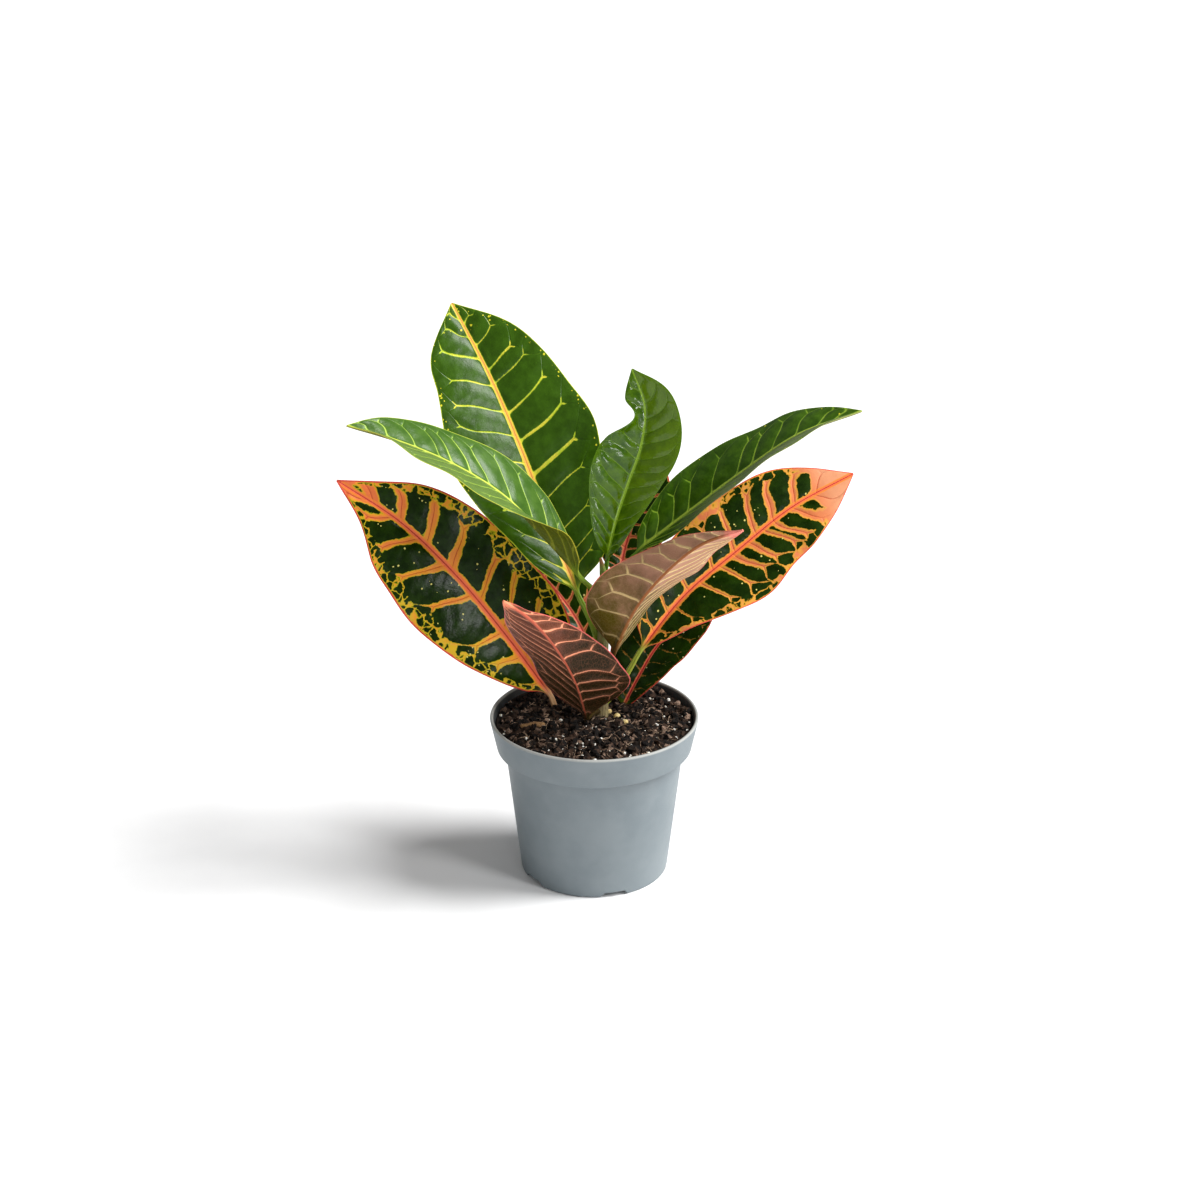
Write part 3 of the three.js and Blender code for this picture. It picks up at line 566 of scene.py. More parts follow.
def make_leaf(name, leaf, seed, materials):
    """One closed mesh: rings of points from the foot of the petiole to the tip of the blade. Its
    corners carry what the materials read, because the two halves differ along the midrib."""
    across = leaf_columns()
    t_rows = np.linspace(0, 1, BLADE_ROWS)
    t, a = np.meshgrid(t_rows, across, indexing="ij")
    s = np.abs(a)
    rib_line = along(leaf["rib"], np.linspace(0, 1, 200))
    length = np.linalg.norm(np.diff(rib_line, axis=0), axis=1).sum()
    width = by_half(leaf, "left", "right", a, t)
    veins = [vein_fields(leaf, side, t, s, length, width) for side in SIDES]
    top, bottom = blade_sides(leaf, t, a, width, length, np.where(a < 0, veins[0][0], veins[1][0]))

    # the root of the blade swells round into the petiole
    at, forward, up, right = leaf_axes(leaf, t_rows)
    end_radius = 0.8 * leaf["radius"]
    seat = at - up * (end_radius * 0.75)
    round_top, round_bottom = round_sides(across, seat, np.full(BLADE_ROWS, end_radius), right, up)
    blend = smooth(t_rows, 0.0, 0.07)[:, None, None]
    top = round_top + (top - round_top) * blend
    bottom = round_bottom + (bottom - round_bottom) * blend
    petiole_top, petiole_bottom, path = petiole_sides(leaf, across, seat, forward[0], up[0])

    tops = np.vstack([petiole_top[:-1], top])
    bottoms = np.vstack([petiole_bottom[:-1], bottom])
    rings = np.concatenate([tops, bottoms[:, ::-1]], axis=1)
    rows, columns = tops.shape[:2]
    upper_or_under = np.where(np.arange(2 * columns) < columns - 1, 0, 1)
    body = closed_body(rings, rings[0].mean(0), rings[-1].mean(0))
    made = new_mesh(name + "_blade", body, materials, np.tile(upper_or_under, rows + 1))

    mesh = made.data
    corner = np.empty(len(mesh.loops), np.int32)
    mesh.loops.foreach_get("vertex_index", corner)
    left = left_corners(mesh, rows, columns)
    petiole_rows = len(path) - 1
    petiole_mm = -np.linalg.norm(path[:-1] - path[-1], axis=1)
    mm_along = ring_values(petiole_mm[:, None], t * length, petiole_rows)[corner]
    mm_across = ring_values(across * end_radius, a * width, petiole_rows)[corner]
    share_along = ring_values(0.0, t, petiole_rows)[corner]
    share_across = ring_values(np.abs(across), s, petiole_rows)[corner]
    edge = ring_values(FAR_FROM_EDGE, (1 - s) * width, petiole_rows)[corner]
    wide = [ring_values(end_radius, along(leaf[side], t), petiole_rows)[corner] for side in SIDES]
    fields = []
    for on_petiole, on_left, on_right in zip(NO_VEIN.values(), *veins):
        halves = [ring_values(on_petiole, field, petiole_rows)[corner] for field in (on_left, on_right)]
        fields.append(np.where(left, *halves))
    phase, spacing, reach, power = fields
    corner_vectors(mesh, "leaf_mm", mm_along, mm_across, np.full(len(corner), SEED_STEP * seed))
    corner_vectors(mesh, "leaf_vein", phase, spacing, reach)
    corner_vectors(mesh, "leaf_share", share_along, share_across, edge)
    corner_vectors(mesh, "leaf_half", np.where(left, -1.0, 1.0), np.where(left, *wide), power)
    return made


# ---------- material helper ----------
def rgb(*display):
    """A linear colour from the 0 to 255 values of a display."""
    shares = [v / 255 for v in display]
    return (*(v / 12.92 if v <= 0.04045 else ((v + 0.055) / 1.055) ** 2.4 for v in shares), 1.0)


class Value:
    """An output of a node, with ordinary arithmetic."""

    def __init__(self, paint, socket):
        self.paint = paint
        self.socket = socket

    def __add__(self, other):
        return self.paint.math("ADD", self, other)

    def __sub__(self, other):
        return self.paint.math("SUBTRACT", self, other)

    def __rsub__(self, other):
        return self.paint.math("SUBTRACT", other, self)

    def __mul__(self, other):
        return self.paint.math("MULTIPLY", self, other)

    def __truediv__(self, other):
        return self.paint.math("DIVIDE", self, other)

    __radd__ = __add__
    __rmul__ = __mul__


class Paint:
    """Builds one material's nodes out of plain expressions. A colour is a Value or (red, green, blue)
    as a display shows it, from 0 to 255."""

    def __init__(self, name):
        self.material = bpy.data.materials.new(name)
        self.material.use_nodes = True
        self.tree = self.material.node_tree
        self.tree.nodes.clear()

    def node(self, kind, inputs, **settings):
        made = self.tree.nodes.new(kind)
        for key, value in settings.items():
            setattr(made, key, value)
        for key, value in inputs.items():
            if isinstance(value, Value):
                self.tree.links.new(value.socket, made.inputs[key])
            else:
                made.inputs[key].default_value = value
        return made

    def out(self, made, key=0):
        return Value(self, made.outputs[key])

    def math(self, operation, *values):
        return self.out(self.node("ShaderNodeMath", dict(enumerate(values)), operation=operation))

    def vector_math(self, operation, a, b):
        return self.out(self.node("ShaderNodeVectorMath", {0: a, 1: b}, operation=operation))

    def least(self, a, b):
        return self.math("MINIMUM", a, b)

    def blend_least(self, a, b, distance):
        """The lesser of two values, with a round join where they meet."""
        return self.math("SMOOTH_MIN", a, b, distance)

    def most(self, a, b):
        return self.math("MAXIMUM", a, b)

    def size(self, a):
        return self.math("ABSOLUTE", a)

    def smooth(self, x, low, high):
        inputs = {"Value": x, "From Min": low, "From Max": high}
        return self.out(self.node("ShaderNodeMapRange", inputs, interpolation_type="SMOOTHSTEP"))

    def ramp(self, x, low, high, low_value, high_value):
        inputs = {"Value": x, "From Min": low, "From Max": high, "To Min": low_value, "To Max": high_value}
        return self.out(self.node("ShaderNodeMapRange", inputs))

    def mix(self, share, a, b):
        a, b = (v if isinstance(v, Value) else rgb(*v) for v in (a, b))
        return self.out(self.node("ShaderNodeMix", {0: share, 6: a, 7: b}, data_type="RGBA"), 2)

    def attribute(self, name):
        return self.out(self.node("ShaderNodeAttribute", {}, attribute_name=name), "Vector")

    def place(self, stretch=(1, 1, 1)):
        """The place on the object in millimetres."""
        made = self.out(self.node("ShaderNodeTexCoord", {}), "Object")
        return self.vector_math("MULTIPLY", made, tuple(k / MM for k in stretch))

    def split(self, vector):
        made = self.node("ShaderNodeSeparateXYZ", {0: vector})
        return [self.out(made, k) for k in range(3)]

    def shifted(self, vector, x, y):
        return self.vector_math("ADD", vector, self.out(self.node("ShaderNodeCombineXYZ", {0: x, 1: y})))

    def noise(self, vector, scale, detail=2.0, rough=0.5):
        inputs = {"Vector": vector, "Scale": scale, "Detail": detail, "Roughness": rough}
        return self.out(self.node("ShaderNodeTexNoise", inputs))

    def cells(self, vector, scale, randomness=1.0):
        """How far the middle of a point's cell is, and three random shares of that cell."""
        inputs = {"Vector": vector, "Scale": scale, "Randomness": randomness}
        made = self.node("ShaderNodeTexVoronoi", inputs)
        return self.out(made, "Distance"), self.split(self.out(made, "Color"))

    def cell_edge(self, vector, scale, randomness=1.0):
        """How far the edge of a point's cell is."""
        inputs = {"Vector": vector, "Scale": scale, "Randomness": randomness}
        return self.out(self.node("ShaderNodeTexVoronoi", inputs, feature="DISTANCE_TO_EDGE"))

    def finish(self, colour, rough, gloss, height=None, height_mm=1.0, strength=1.0):
        """The shader, with its bump: height 1 stands height_mm out."""
        inputs = {"Base Color": colour, "Roughness": rough, "Specular IOR Level": gloss}
        if height is not None:
            bump = {"Height": height, "Distance": height_mm * MM, "Strength": strength}
            inputs["Normal"] = self.out(self.node("ShaderNodeBump", bump))
        shader = self.node("ShaderNodeBsdfPrincipled", inputs)
        output = self.node("ShaderNodeOutputMaterial", {})
        self.tree.links.new(shader.outputs[0], output.inputs[0])
        return self.material


# ---------- leaf materials ----------
CORNER_ROUND = 2.6  # how round the corners of the green cells are
BLOB_ROUND = 1.8  # how round the corners of the blobs near the margin are
BLOB_RANDOM = 0.85
UNDER_ROUGH = 0.45
UNDER_GLOSS = 0.14

# Colours are as a display shows them. A pair whose name ends in _at gives the two values between which
# something sets in. band_mm and rib_mm are half widths at the base and at the tip, and speck_mm is the
# smallest and the largest speck. pale_and_sheen_half: the half's sign, its colour and its strength, for a
# paler tint that is partly the half's own colour and partly painted sheen.
GREEN = dict(
    slot="leaf_green", dark=(42, 72, 2), mid=(54, 88, 8), fringe=(96, 132, 24), fringe_mm=0.35,
    band=(178, 198, 44), core=(216, 204, 60), line=(208, 194, 60), line_share=0.3,
    band_mm=(0.72, 0.62), taper=0.0, fork_mm=3.2, fork_thin=0.0, rag=(0.2, 0.2), blobs=0.0,
    band_outer=None, warm_at=None, pale_and_sheen_half=None, bare=None,
    rib_outer=(228, 196, 66), rib_inner=(236, 172, 80), rib_line=(206, 130, 60), rib_mm=(2.2, 0.9),
    edge=(196, 196, 50), edge_mm=0.4, edge_share=0.6, foot=(120, 150, 40), foot_at=(0.0, 0.08),
    speck=(214, 206, 50), speck_share=0.0, speck_edge=0.5, speck_mm=(0.3, 0.95),
    under_cell=(84, 100, 36), under_two=(70, 84, 26), under_low_at=(0.3, 0.85),
    under_vein=(160, 170, 80), under_thin=0.8, under_rib=(170, 176, 84), under_edge=(150, 160, 70),
    under_tip=(150, 160, 70), under_tip_at=(0.93, 1.05), under_foot=(120, 150, 40), rough=0.3, gloss=0.2,
)
ORANGE = dict(
    GREEN, slot="leaf_orange", dark=(12, 30, 0), mid=(28, 50, 4), fringe=(168, 168, 22), fringe_mm=0.25,
    band=(226, 150, 44), core=(226, 116, 64), line=(170, 52, 34), line_share=0.7,
    band_mm=(2.1, 2.7), taper=0.3, fork_mm=200.0, fork_thin=0.75, rag=(0.75, 0.35),
    blobs=1.0, blob_mm=7.0, blob_gap=0.8, blob_at=(0.62, 0.74), blob_size=(0.56, 0.95),
    band_outer=(204, 176, 40),
    rib_outer=(234, 136, 52), rib_inner=(232, 108, 74), rib_line=(160, 36, 30), rib_mm=(2.7, 1.2),
    edge=(204, 74, 58), edge_mm=0.8, edge_share=1.0,
    speck=(224, 214, 120), speck_share=0.07, speck_edge=0.12, speck_mm=(0.25, 0.7),
    under_cell=(104, 78, 58), under_two=(70, 54, 20), under_vein=(228, 150, 108),
    under_rib=(220, 130, 96), under_edge=(222, 104, 98), under_tip=(240, 144, 112),
    under_tip_at=(0.86, 0.95), under_foot=(150, 110, 60), rough=0.26, gloss=0.11,
)
LOOKS = {
    "green": GREEN,
    "light_green": dict(
        GREEN, slot="leaf_light_green", dark=(54, 88, 22), mid=(70, 104, 32), fringe=(104, 140, 48),
        band=(160, 188, 76), core=(178, 200, 86), line=(166, 190, 76), band_mm=(0.34, 0.28), taper=0.5,
        fork_mm=3.0, rag=(0.05, 0.1), rib_outer=(176, 190, 72), rib_inner=(204, 208, 88),
        rib_line=(176, 184, 66), rib_mm=(1.3, 0.6), edge=(176, 176, 60), edge_mm=0.5, speck_edge=0.0,
        foot=(110, 136, 40), under_cell=(84, 88, 8), under_two=(70, 80, 8), under_vein=(130, 136, 32),
        under_rib=(150, 150, 40), under_edge=(176, 168, 52), pale_and_sheen_half=(-1, (172, 186, 116), 0.16),
    ),
    "fresh_green": dict(
        GREEN, slot="leaf_fresh_green", dark=(44, 80, 0), mid=(74, 108, 0), fringe=(78, 112, 4),
        band=(86, 124, 8), core=(94, 130, 12), line=(90, 124, 10), band_mm=(0.24, 0.2), taper=0.5,
        fork_mm=9.0, rag=(0.05, 0.1), rib_outer=(120, 158, 36), rib_inner=(142, 176, 48),
        rib_line=(110, 150, 30), rib_mm=(1.2, 0.5), edge=(76, 116, 8), edge_mm=0.35, speck_edge=0.0,
        foot=(74, 112, 12), under_cell=(70, 106, 16), under_two=(58, 94, 8), under_vein=(114, 148, 40),
        under_rib=(124, 158, 46), under_edge=(110, 140, 40), rough=0.15, gloss=0.3,
        pale_and_sheen_half=(1, (132, 160, 30), 0.22),
    ),
    "deep_green": dict(
        GREEN, dark=(40, 70, 4), mid=(62, 94, 12), fringe=(76, 110, 22), band=(122, 152, 44),
        core=(140, 168, 52), line=(130, 158, 46), band_mm=(0.42, 0.36), taper=0.4, fork_mm=6.0,
        rag=(0.1, 0.1), rib_outer=(146, 170, 58), rib_inner=(168, 190, 68), rib_line=(134, 156, 48),
        rib_mm=(1.5, 0.6), edge=(120, 140, 50), speck_edge=0.1, foot=(90, 130, 40),
        under_cell=(110, 116, 66), under_two=(94, 104, 54), under_vein=(150, 156, 84),
        under_rib=(156, 162, 90), under_edge=(150, 150, 84), pale_and_sheen_half=(1, (140, 152, 104), 0.5),
    ),
    "orange_left": dict(
        ORANGE, band_mm=(2.3, 2.7), bare=(0.93, 1.02, (226, 116, 84)), foot=(206, 172, 126),
        blob_mm=5.4, blob_gap=0.3, blob_size=(0.66, 1.1), blob_at=(0.66, 0.78), edge_mm=1.3,
        foot_at=(-0.02, 0.06), warm_at=(0.4, 0.9), rib_mm=(3.2, 1.6), under_foot=(188, 146, 96),
    ),
    "orange_right": dict(
        ORANGE, fringe=(204, 150, 44), band=(210, 146, 64), core=(208, 118, 74), band_outer=None,
        band_mm=(0.45, 2.4), bare=(0.8, 0.92, (216, 150, 112)), foot=(150, 160, 60), foot_at=(0.0, 0.06),
        warm_at=(-0.2, 0.35), fork_mm=40.0, blob_gap=0.35, blob_at=(0.76, 0.86), blob_size=(0.45, 0.9),
        rib_mm=(2.2, 1.5),
    ),
    "purple_right": dict(
        ORANGE, slot="leaf_purple", under_cell=(182, 132, 108), under_two=(80, 68, 2),
        under_low_at=(0.42, 1.0), under_vein=(230, 200, 140), under_thin=0.85, under_rib=(146, 88, 48),
        under_edge=(206, 116, 96), under_tip=(240, 136, 120), under_tip_at=(0.86, 0.94),
        under_foot=(90, 60, 24), foot=(90, 70, 24), warm_at=(0, 0.5),
    ),
    "purple_left": dict(
        ORANGE, slot="leaf_purple", under_cell=(84, 44, 30), under_two=(28, 21, 1),
        under_low_at=(0.25, 0.8), under_vein=(226, 144, 110), under_thin=0.66, under_rib=(178, 88, 66),
        under_edge=(200, 96, 88), under_tip=(240, 140, 104), under_tip_at=(0.88, 0.96),
        under_foot=(44, 32, 10), foot=(50, 38, 12), warm_at=(0, 0.5), rib_mm=(1.8, 1.1),
    ),
    "dark_red": dict(
        ORANGE, slot="leaf_dark_green", dark=(14, 30, 0), mid=(26, 48, 4), fringe=(50, 64, 10),
        band=(130, 92, 30), core=(150, 80, 40), line=(110, 66, 26), line_share=0.3, band_mm=(0.16, 0.4),
        fork_mm=4.0, rag=(0.9, 0.6), blobs=0.0, band_outer=None, rib_outer=(214, 110, 84),
        rib_inner=(196, 62, 52), rib_line=(150, 36, 32), rib_mm=(1.3, 0.6), edge=(176, 60, 44),
        edge_mm=0.7, speck=(216, 206, 150), speck_share=0.06, warm_at=(0, 0.5),
    ),
    "dark_salmon": dict(
        ORANGE, slot="leaf_dark_green", dark=(18, 40, 2), mid=(36, 62, 8), fringe=(84, 100, 22),
        band=(214, 130, 80), core=(216, 104, 74), line=(176, 64, 48), band_mm=(0.7, 0.9), fork_mm=12.0,
        rag=(0.4, 0.4), blobs=0.3, band_outer=None, rib_outer=(224, 130, 96), rib_inner=(212, 84, 70),
        rib_line=(160, 44, 38), rib_mm=(1.6, 0.7), edge=(190, 80, 60), speck=(216, 196, 120),
        speck_share=0.05, warm_at=(0, 0.4),
    ),
}


def leaf_places(p, **noises):
    """Where a point is on its leaf and beside its veins, and the noises there."""
    mm = p.attribute("leaf_mm")
    phase, spacing, reach = p.split(p.attribute("leaf_vein"))
    t, s, edge = p.split(p.attribute("leaf_share"))
    side, wide, power = p.split(p.attribute("leaf_half"))
    to_vein = (0.5 - p.size(p.math("FRACT", phase) - 0.5)) * spacing
    past = p.most(s - reach, 0.0) * wide
    fork = p.size(to_vein - p.least(past * 0.85, spacing * 0.5))
    from_rib = p.size(p.split(mm)[1])
    made = {name: p.noise(mm, *settings) for name, settings in noises.items()}
    return SimpleNamespace(mm=mm, t=t, s=s, edge=edge, side=side, past=past, power=power, fork=fork,
                           from_rib=from_rib, **made)


def band_half_width(p, at, look):
    """Half the width of the bands along the side veins. Past the fork they thin out and end."""
    half = p.ramp(at.t, 0.05, 0.85, *look["band_mm"]) * at.power * p.ramp(at.slow, 0.35, 0.65, 0.8, 1.2)
    half = half * p.ramp(at.s, 0.0, 0.7, 1.0 + look["taper"] * 0.5, 1.0 - look["taper"] * 0.5)
    half = half * (1.0 - p.smooth(at.past, look["fork_mm"] * 0.4, look["fork_mm"]) * 1.6)
    return half * (1.0 - p.smooth(at.past, 0.0, 3.5) * look["fork_thin"])


def blob_room(p, at, look):
    """How deep a point lies in one of the blobs that take the place of the cells near the margin."""
    bent = p.shifted(at.mm, at.slow * 6.0 + at.ragged * 5.0, at.patch * 7.0)
    blob_mm = look["blob_mm"]
    distance, (chance, _, _) = p.cells(bent, 1 / blob_mm, BLOB_RANDOM)
    size = p.ramp(chance, 0.0, 1.0, *look["blob_size"])
    between = p.cell_edge(bent, 1 / blob_mm, BLOB_RANDOM) * blob_mm - look["blob_gap"]
    return p.blend_least((size - distance) * blob_mm, between, BLOB_ROUND)


def bare_share(p, at, look):
    """1 beyond the place near the tip where the leaf has no green cells any more."""
    low, high, _ = look["bare"]
    return p.smooth(at.t + (at.slow - 0.5) * 0.1, low, high)


def cell_room(p, at, look, rib_half):
    """How deep a point lies in a green cell, or below 0 in the bands between the cells."""
    band_half = band_half_width(p, at, look)
    to_edge = at.edge - look["edge_mm"]
    room = p.blend_least(at.fork - band_half, at.from_rib - rib_half * 1.1, CORNER_ROUND)
    room = p.least(room, to_edge)
    calm = 1.0
    if look["blobs"]:
        outer = p.smooth(at.s + (at.slow - 0.5) * 0.3, *look["blob_at"]) * look["blobs"]
        room = p.least(room + (blob_room(p, at, look) - room) * outer, to_edge)
        calm = 1.0 - outer * 0.45
    coarse, small = look["rag"]
    room = room + ((at.ragged - 0.5) * (coarse * 3.0) + (at.teeth - 0.5) * (small * 2.4)) * calm
    return room - bare_share(p, at, look) * 9.0 if look["bare"] else room


def specks(p, at, look):
    """Small pale specks, most of them near the margin and the tip."""
    distance, (chance, size, _) = p.cells(at.mm, 0.5)
    outer = p.most(1.0 - p.smooth(at.edge, 1.2, 4.5), p.smooth(at.t, 0.84, 0.95))
    outer = outer * p.smooth(at.t, 0.3, 0.45)
    small_mm, large_mm = look["speck_mm"]
    radius = p.ramp(size, 0.0, 1.0, small_mm * 0.5, large_mm * 0.5)
    dot = 1.0 - p.smooth(distance + (at.teeth - 0.5) * 0.3, radius * 0.75, radius)
    return dot * p.math("LESS_THAN", chance, outer * look["speck_edge"] + look["speck_share"])


def cell_colour(p, at, look, room):
    tone = p.smooth(at.patch + (at.fine - 0.5) * 0.1, 0.28, 0.74)
    cell = p.mix(tone, look["dark"], look["mid"])
    # one half gets a paler tint: partly the leaf's own colour, partly painted sheen
    if look["pale_and_sheen_half"]:
        sign, pale, share = look["pale_and_sheen_half"]
        on_half = p.smooth(at.side * sign, -0.5, 0.5) * p.smooth(at.t, 0.15, 0.4)
        cell = p.mix(on_half * share, cell, pale)
    near = 1.0 - p.smooth(room, 0.0, look["fringe_mm"])
    cell = p.mix(near * 0.6, cell, look["fringe"])
    return p.mix(specks(p, at, look) * 0.9, cell, look["speck"])


def band_colour(p, at, look, room):
    into_band = room * -1.0
    depth = p.smooth(into_band, 0.0, 0.32)
    band = p.mix(depth, look["fringe"], look["band"])
    warm = p.smooth(at.patch + (at.slow - 0.5) * 0.8, 0.42, 0.62)
    if look["warm_at"]:
        by_length = p.smooth(at.t + (at.slow - 0.5) * 0.5, *look["warm_at"])
        warm = p.most(warm * 0.5, by_length) * p.smooth(into_band, 0.4, 1.4)
    band = p.mix(warm * depth, band, look["core"])
    if look["band_outer"]:
        outward = p.smooth(at.s * 0.8 - at.t + (at.patch - 0.5) * 1.6, -0.1, 0.45)
        band = p.mix(outward * 0.75, band, look["band_outer"])
    band = p.mix(p.smooth(at.streak, 0.56, 0.7) * 0.3, band, look["rib_outer"])
    if look["bare"]:
        band = p.mix(bare_share(p, at, look) * 0.85, band, look["bare"][2])
    return band


def vein_height(p, at):
    """1 on a side vein, less towards the margin."""
    return (1.0 - p.smooth(at.fork, 0.0, 0.8)) * p.ramp(at.s, 0.7, 1.0, 1.0, 0.2)


def leaf_upper(name, look):
    p = Paint(name)
    at = leaf_places(p, slow=(0.045, 1), patch=(0.16, 3, 0.6), ragged=(0.3, 2), teeth=(0.95, 3, 0.6),
                     fine=(2.4, 3), streak=(1.3, 3, 0.7), wrinkle=(0.34, 3, 0.55))
    rib_half = p.ramp(at.t, 0.0, 1.0, *look["rib_mm"])
    room = cell_room(p, at, look, rib_half)
    in_cell = p.smooth(room, -0.08, 0.12)
    colour = p.mix(in_cell, band_colour(p, at, look, room), cell_colour(p, at, look, room))

    # a thin line in the middle of each band
    thread = 1.0 - p.smooth(at.fork + (at.teeth - 0.5) * 0.2, 0.1, 0.32)
    thread = thread * p.ramp(at.s, 0.5, 0.9, 1.0, 0.0) * (1.0 - in_cell)
    colour = p.mix(thread * look["line_share"], colour, look["line"])

    rib_place = at.from_rib / rib_half
    rib_edge = rib_place + (at.teeth - 0.5) * 0.3
    rib_line = 1.0 - p.smooth(rib_place + (at.teeth - 0.5) * 0.1, 0.08, 0.2)
    rib = p.mix(p.smooth(rib_edge, 0.35, 0.85), look["rib_inner"], look["rib_outer"])
    rib = p.mix(rib_line * 0.8, rib, look["rib_line"])
    colour = p.mix(1.0 - p.smooth(rib_edge, 0.85, 1.1), colour, rib)

    edge_mm = look["edge_mm"]
    margin = 1.0 - p.smooth(at.edge + (at.ragged - 0.5) * edge_mm, edge_mm * 0.5, edge_mm)
    colour = p.mix(margin * look["edge_share"], colour, look["edge"])
    colour = p.mix(1.0 - p.smooth(at.t, *look["foot_at"]), colour, look["foot"])

    height = vein_height(p, at) * -0.16 + at.wrinkle * 0.16 + at.fine * 0.01 + rib_line * -0.12
    rough = look["rough"] + (at.patch - 0.5) * 0.08 + (1.0 - in_cell) * 0.05
    return p.finish(colour, rough, look["gloss"], height)


def leaf_under(name, look):
    p = Paint(name)
    at = leaf_places(p, slow=(0.05, 1), patch=(0.2, 3, 0.6), teeth=(0.95, 3, 0.6), fine=(2.0, 3))
    net = p.cell_edge(p.shifted(at.mm, at.patch * 2.0, at.slow * 3.0), 0.5)
    net_line = 1.0 - p.smooth(net, 0.01, 0.07)

    tone = p.smooth(at.patch * 0.4 + at.slow * 0.4 + (0.6 - at.t) * 1.1, *look["under_low_at"])
    colour = p.mix(tone, look["under_cell"], look["under_two"])
    half = p.ramp(at.s, 0.0, 0.9, 0.75, 0.4) * at.power * look["under_thin"]
    wobble = (at.teeth - 0.5) * 0.5
    vein = 1.0 - p.smooth(at.fork + wobble, half * 0.7, half * 1.3)
    fade = (1.0 - p.smooth(at.past, 1.0, 6.0) * 0.8) * p.ramp(at.t, 0.0, 0.35, 0.25, 1.0)
    halo = (1.0 - p.smooth(at.fork, 0.0, 2.2)) * 0.12
    grain = p.smooth(at.fine, 0.5, 0.8) * 0.08
    vein = vein * fade * p.ramp(at.patch, 0.3, 0.5, 0.6, 0.9)
    for share in (grain, net_line * 0.06, halo * fade, vein):
        colour = p.mix(share, colour, look["under_vein"])

    rib_base, rib_tip = look["rib_mm"]
    rib_half = p.ramp(at.t, 0.0, 1.0, rib_base * 0.26, rib_tip * 0.42)
    rib = 1.0 - p.smooth(at.from_rib / rib_half, 0.7, 1.2)
    colour = p.mix(rib * p.ramp(at.t, 0.0, 0.3, 0.5, 1.0), colour, look["under_rib"])
    margin = 1.0 - p.smooth(at.edge + wobble, look["edge_mm"] * 0.5, look["edge_mm"])
    colour = p.mix(margin, colour, look["under_edge"])
    tip = p.smooth(at.t + (at.patch - 0.5) * 0.12, *look["under_tip_at"])
    colour = p.mix(tip, colour, look["under_tip"])
    colour = p.mix(1.0 - p.smooth(at.t, *look["foot_at"]), colour, look["under_foot"])

    height = vein_height(p, at) * 0.3 + net_line * 0.05 + at.fine * 0.02
    return p.finish(colour, UNDER_ROUGH + (at.patch - 0.5) * 0.2, UNDER_GLOSS, height)


def make_leaves():
    finishes = {}
    for name, look in LOOKS.items():
        finishes[name] = (leaf_upper("leaf_upper_" + name, look), leaf_under("leaf_under_" + name, look))
    for number, (name, leaf) in enumerate(LEAVES.items(), 1):
        piece = make_leaf(name, leaf, number, finishes[leaf["look"]])
        belongs(piece, LOOKS[leaf["look"]]["slot"], name)


make_leaves()


# ---------- pot ----------
POT_SEGMENTS = 256
DRAIN_SEGMENTS = 32
POT_ROUND = 0.3  # of the profile's corners
SHARP_DEG = 34  # edges that turn further than this stay sharp


def pot_paint():
    p = Paint("pot_plastic")
    at = p.place()
    x, y, z = p.split(at)
    cloud = p.noise(at, 0.035, 3, 0.6)
    grain = p.noise(at, 1.6, 3, 0.6)
    pores = p.noise(at, 5.0, 2)
    lip_highlight = p.smooth(z, POT_HEIGHT - 1.6, POT_HEIGHT - 0.5)
    outside = p.ramp(z, COLLAR_FOOT_Z, POT_HEIGHT, COLLAR_FOOT_RADIUS, RIM_RADIUS)
    depth = outside - p.math("SQRT", x * x + y * y)
    inside = p.smooth(depth, 1.0, 1.9) * p.smooth(z, BODY_TOP_Z, BODY_TOP_Z + 2.0)
    foot = 1.0 - p.smooth(z, 0.0, 5.0)
    colour = p.mix(p.smooth(cloud, 0.3, 0.7), (108, 118, 123), (118, 127, 131))
    colour = p.mix(p.smooth(grain, 0.55, 0.75) * 0.25, colour, (130, 138, 141))
    # painted shade: the inside wall above the soil is darker, in blotches
    inside_shade = inside * p.ramp(cloud + (grain - 0.5) * 0.5, 0.3, 0.7, 0.75, 0.95)
    colour = p.mix(inside_shade, colour, (44, 42, 40))
    # painted highlight: the top of the rim is lighter, as light falls on it
    colour = p.mix(lip_highlight * 0.5, colour, (186, 184, 176))
    dust = p.smooth(cloud + (grain - 0.5) * 0.6, 0.5, 0.8) * foot
    colour = p.mix(dust * 0.35, colour, (120, 117, 110))
    rough = 0.5 + (grain - 0.5) * 0.2 + lip_highlight * 0.08
    return p.finish(colour, rough, 0.4, grain * 0.05 + pores * 0.02)


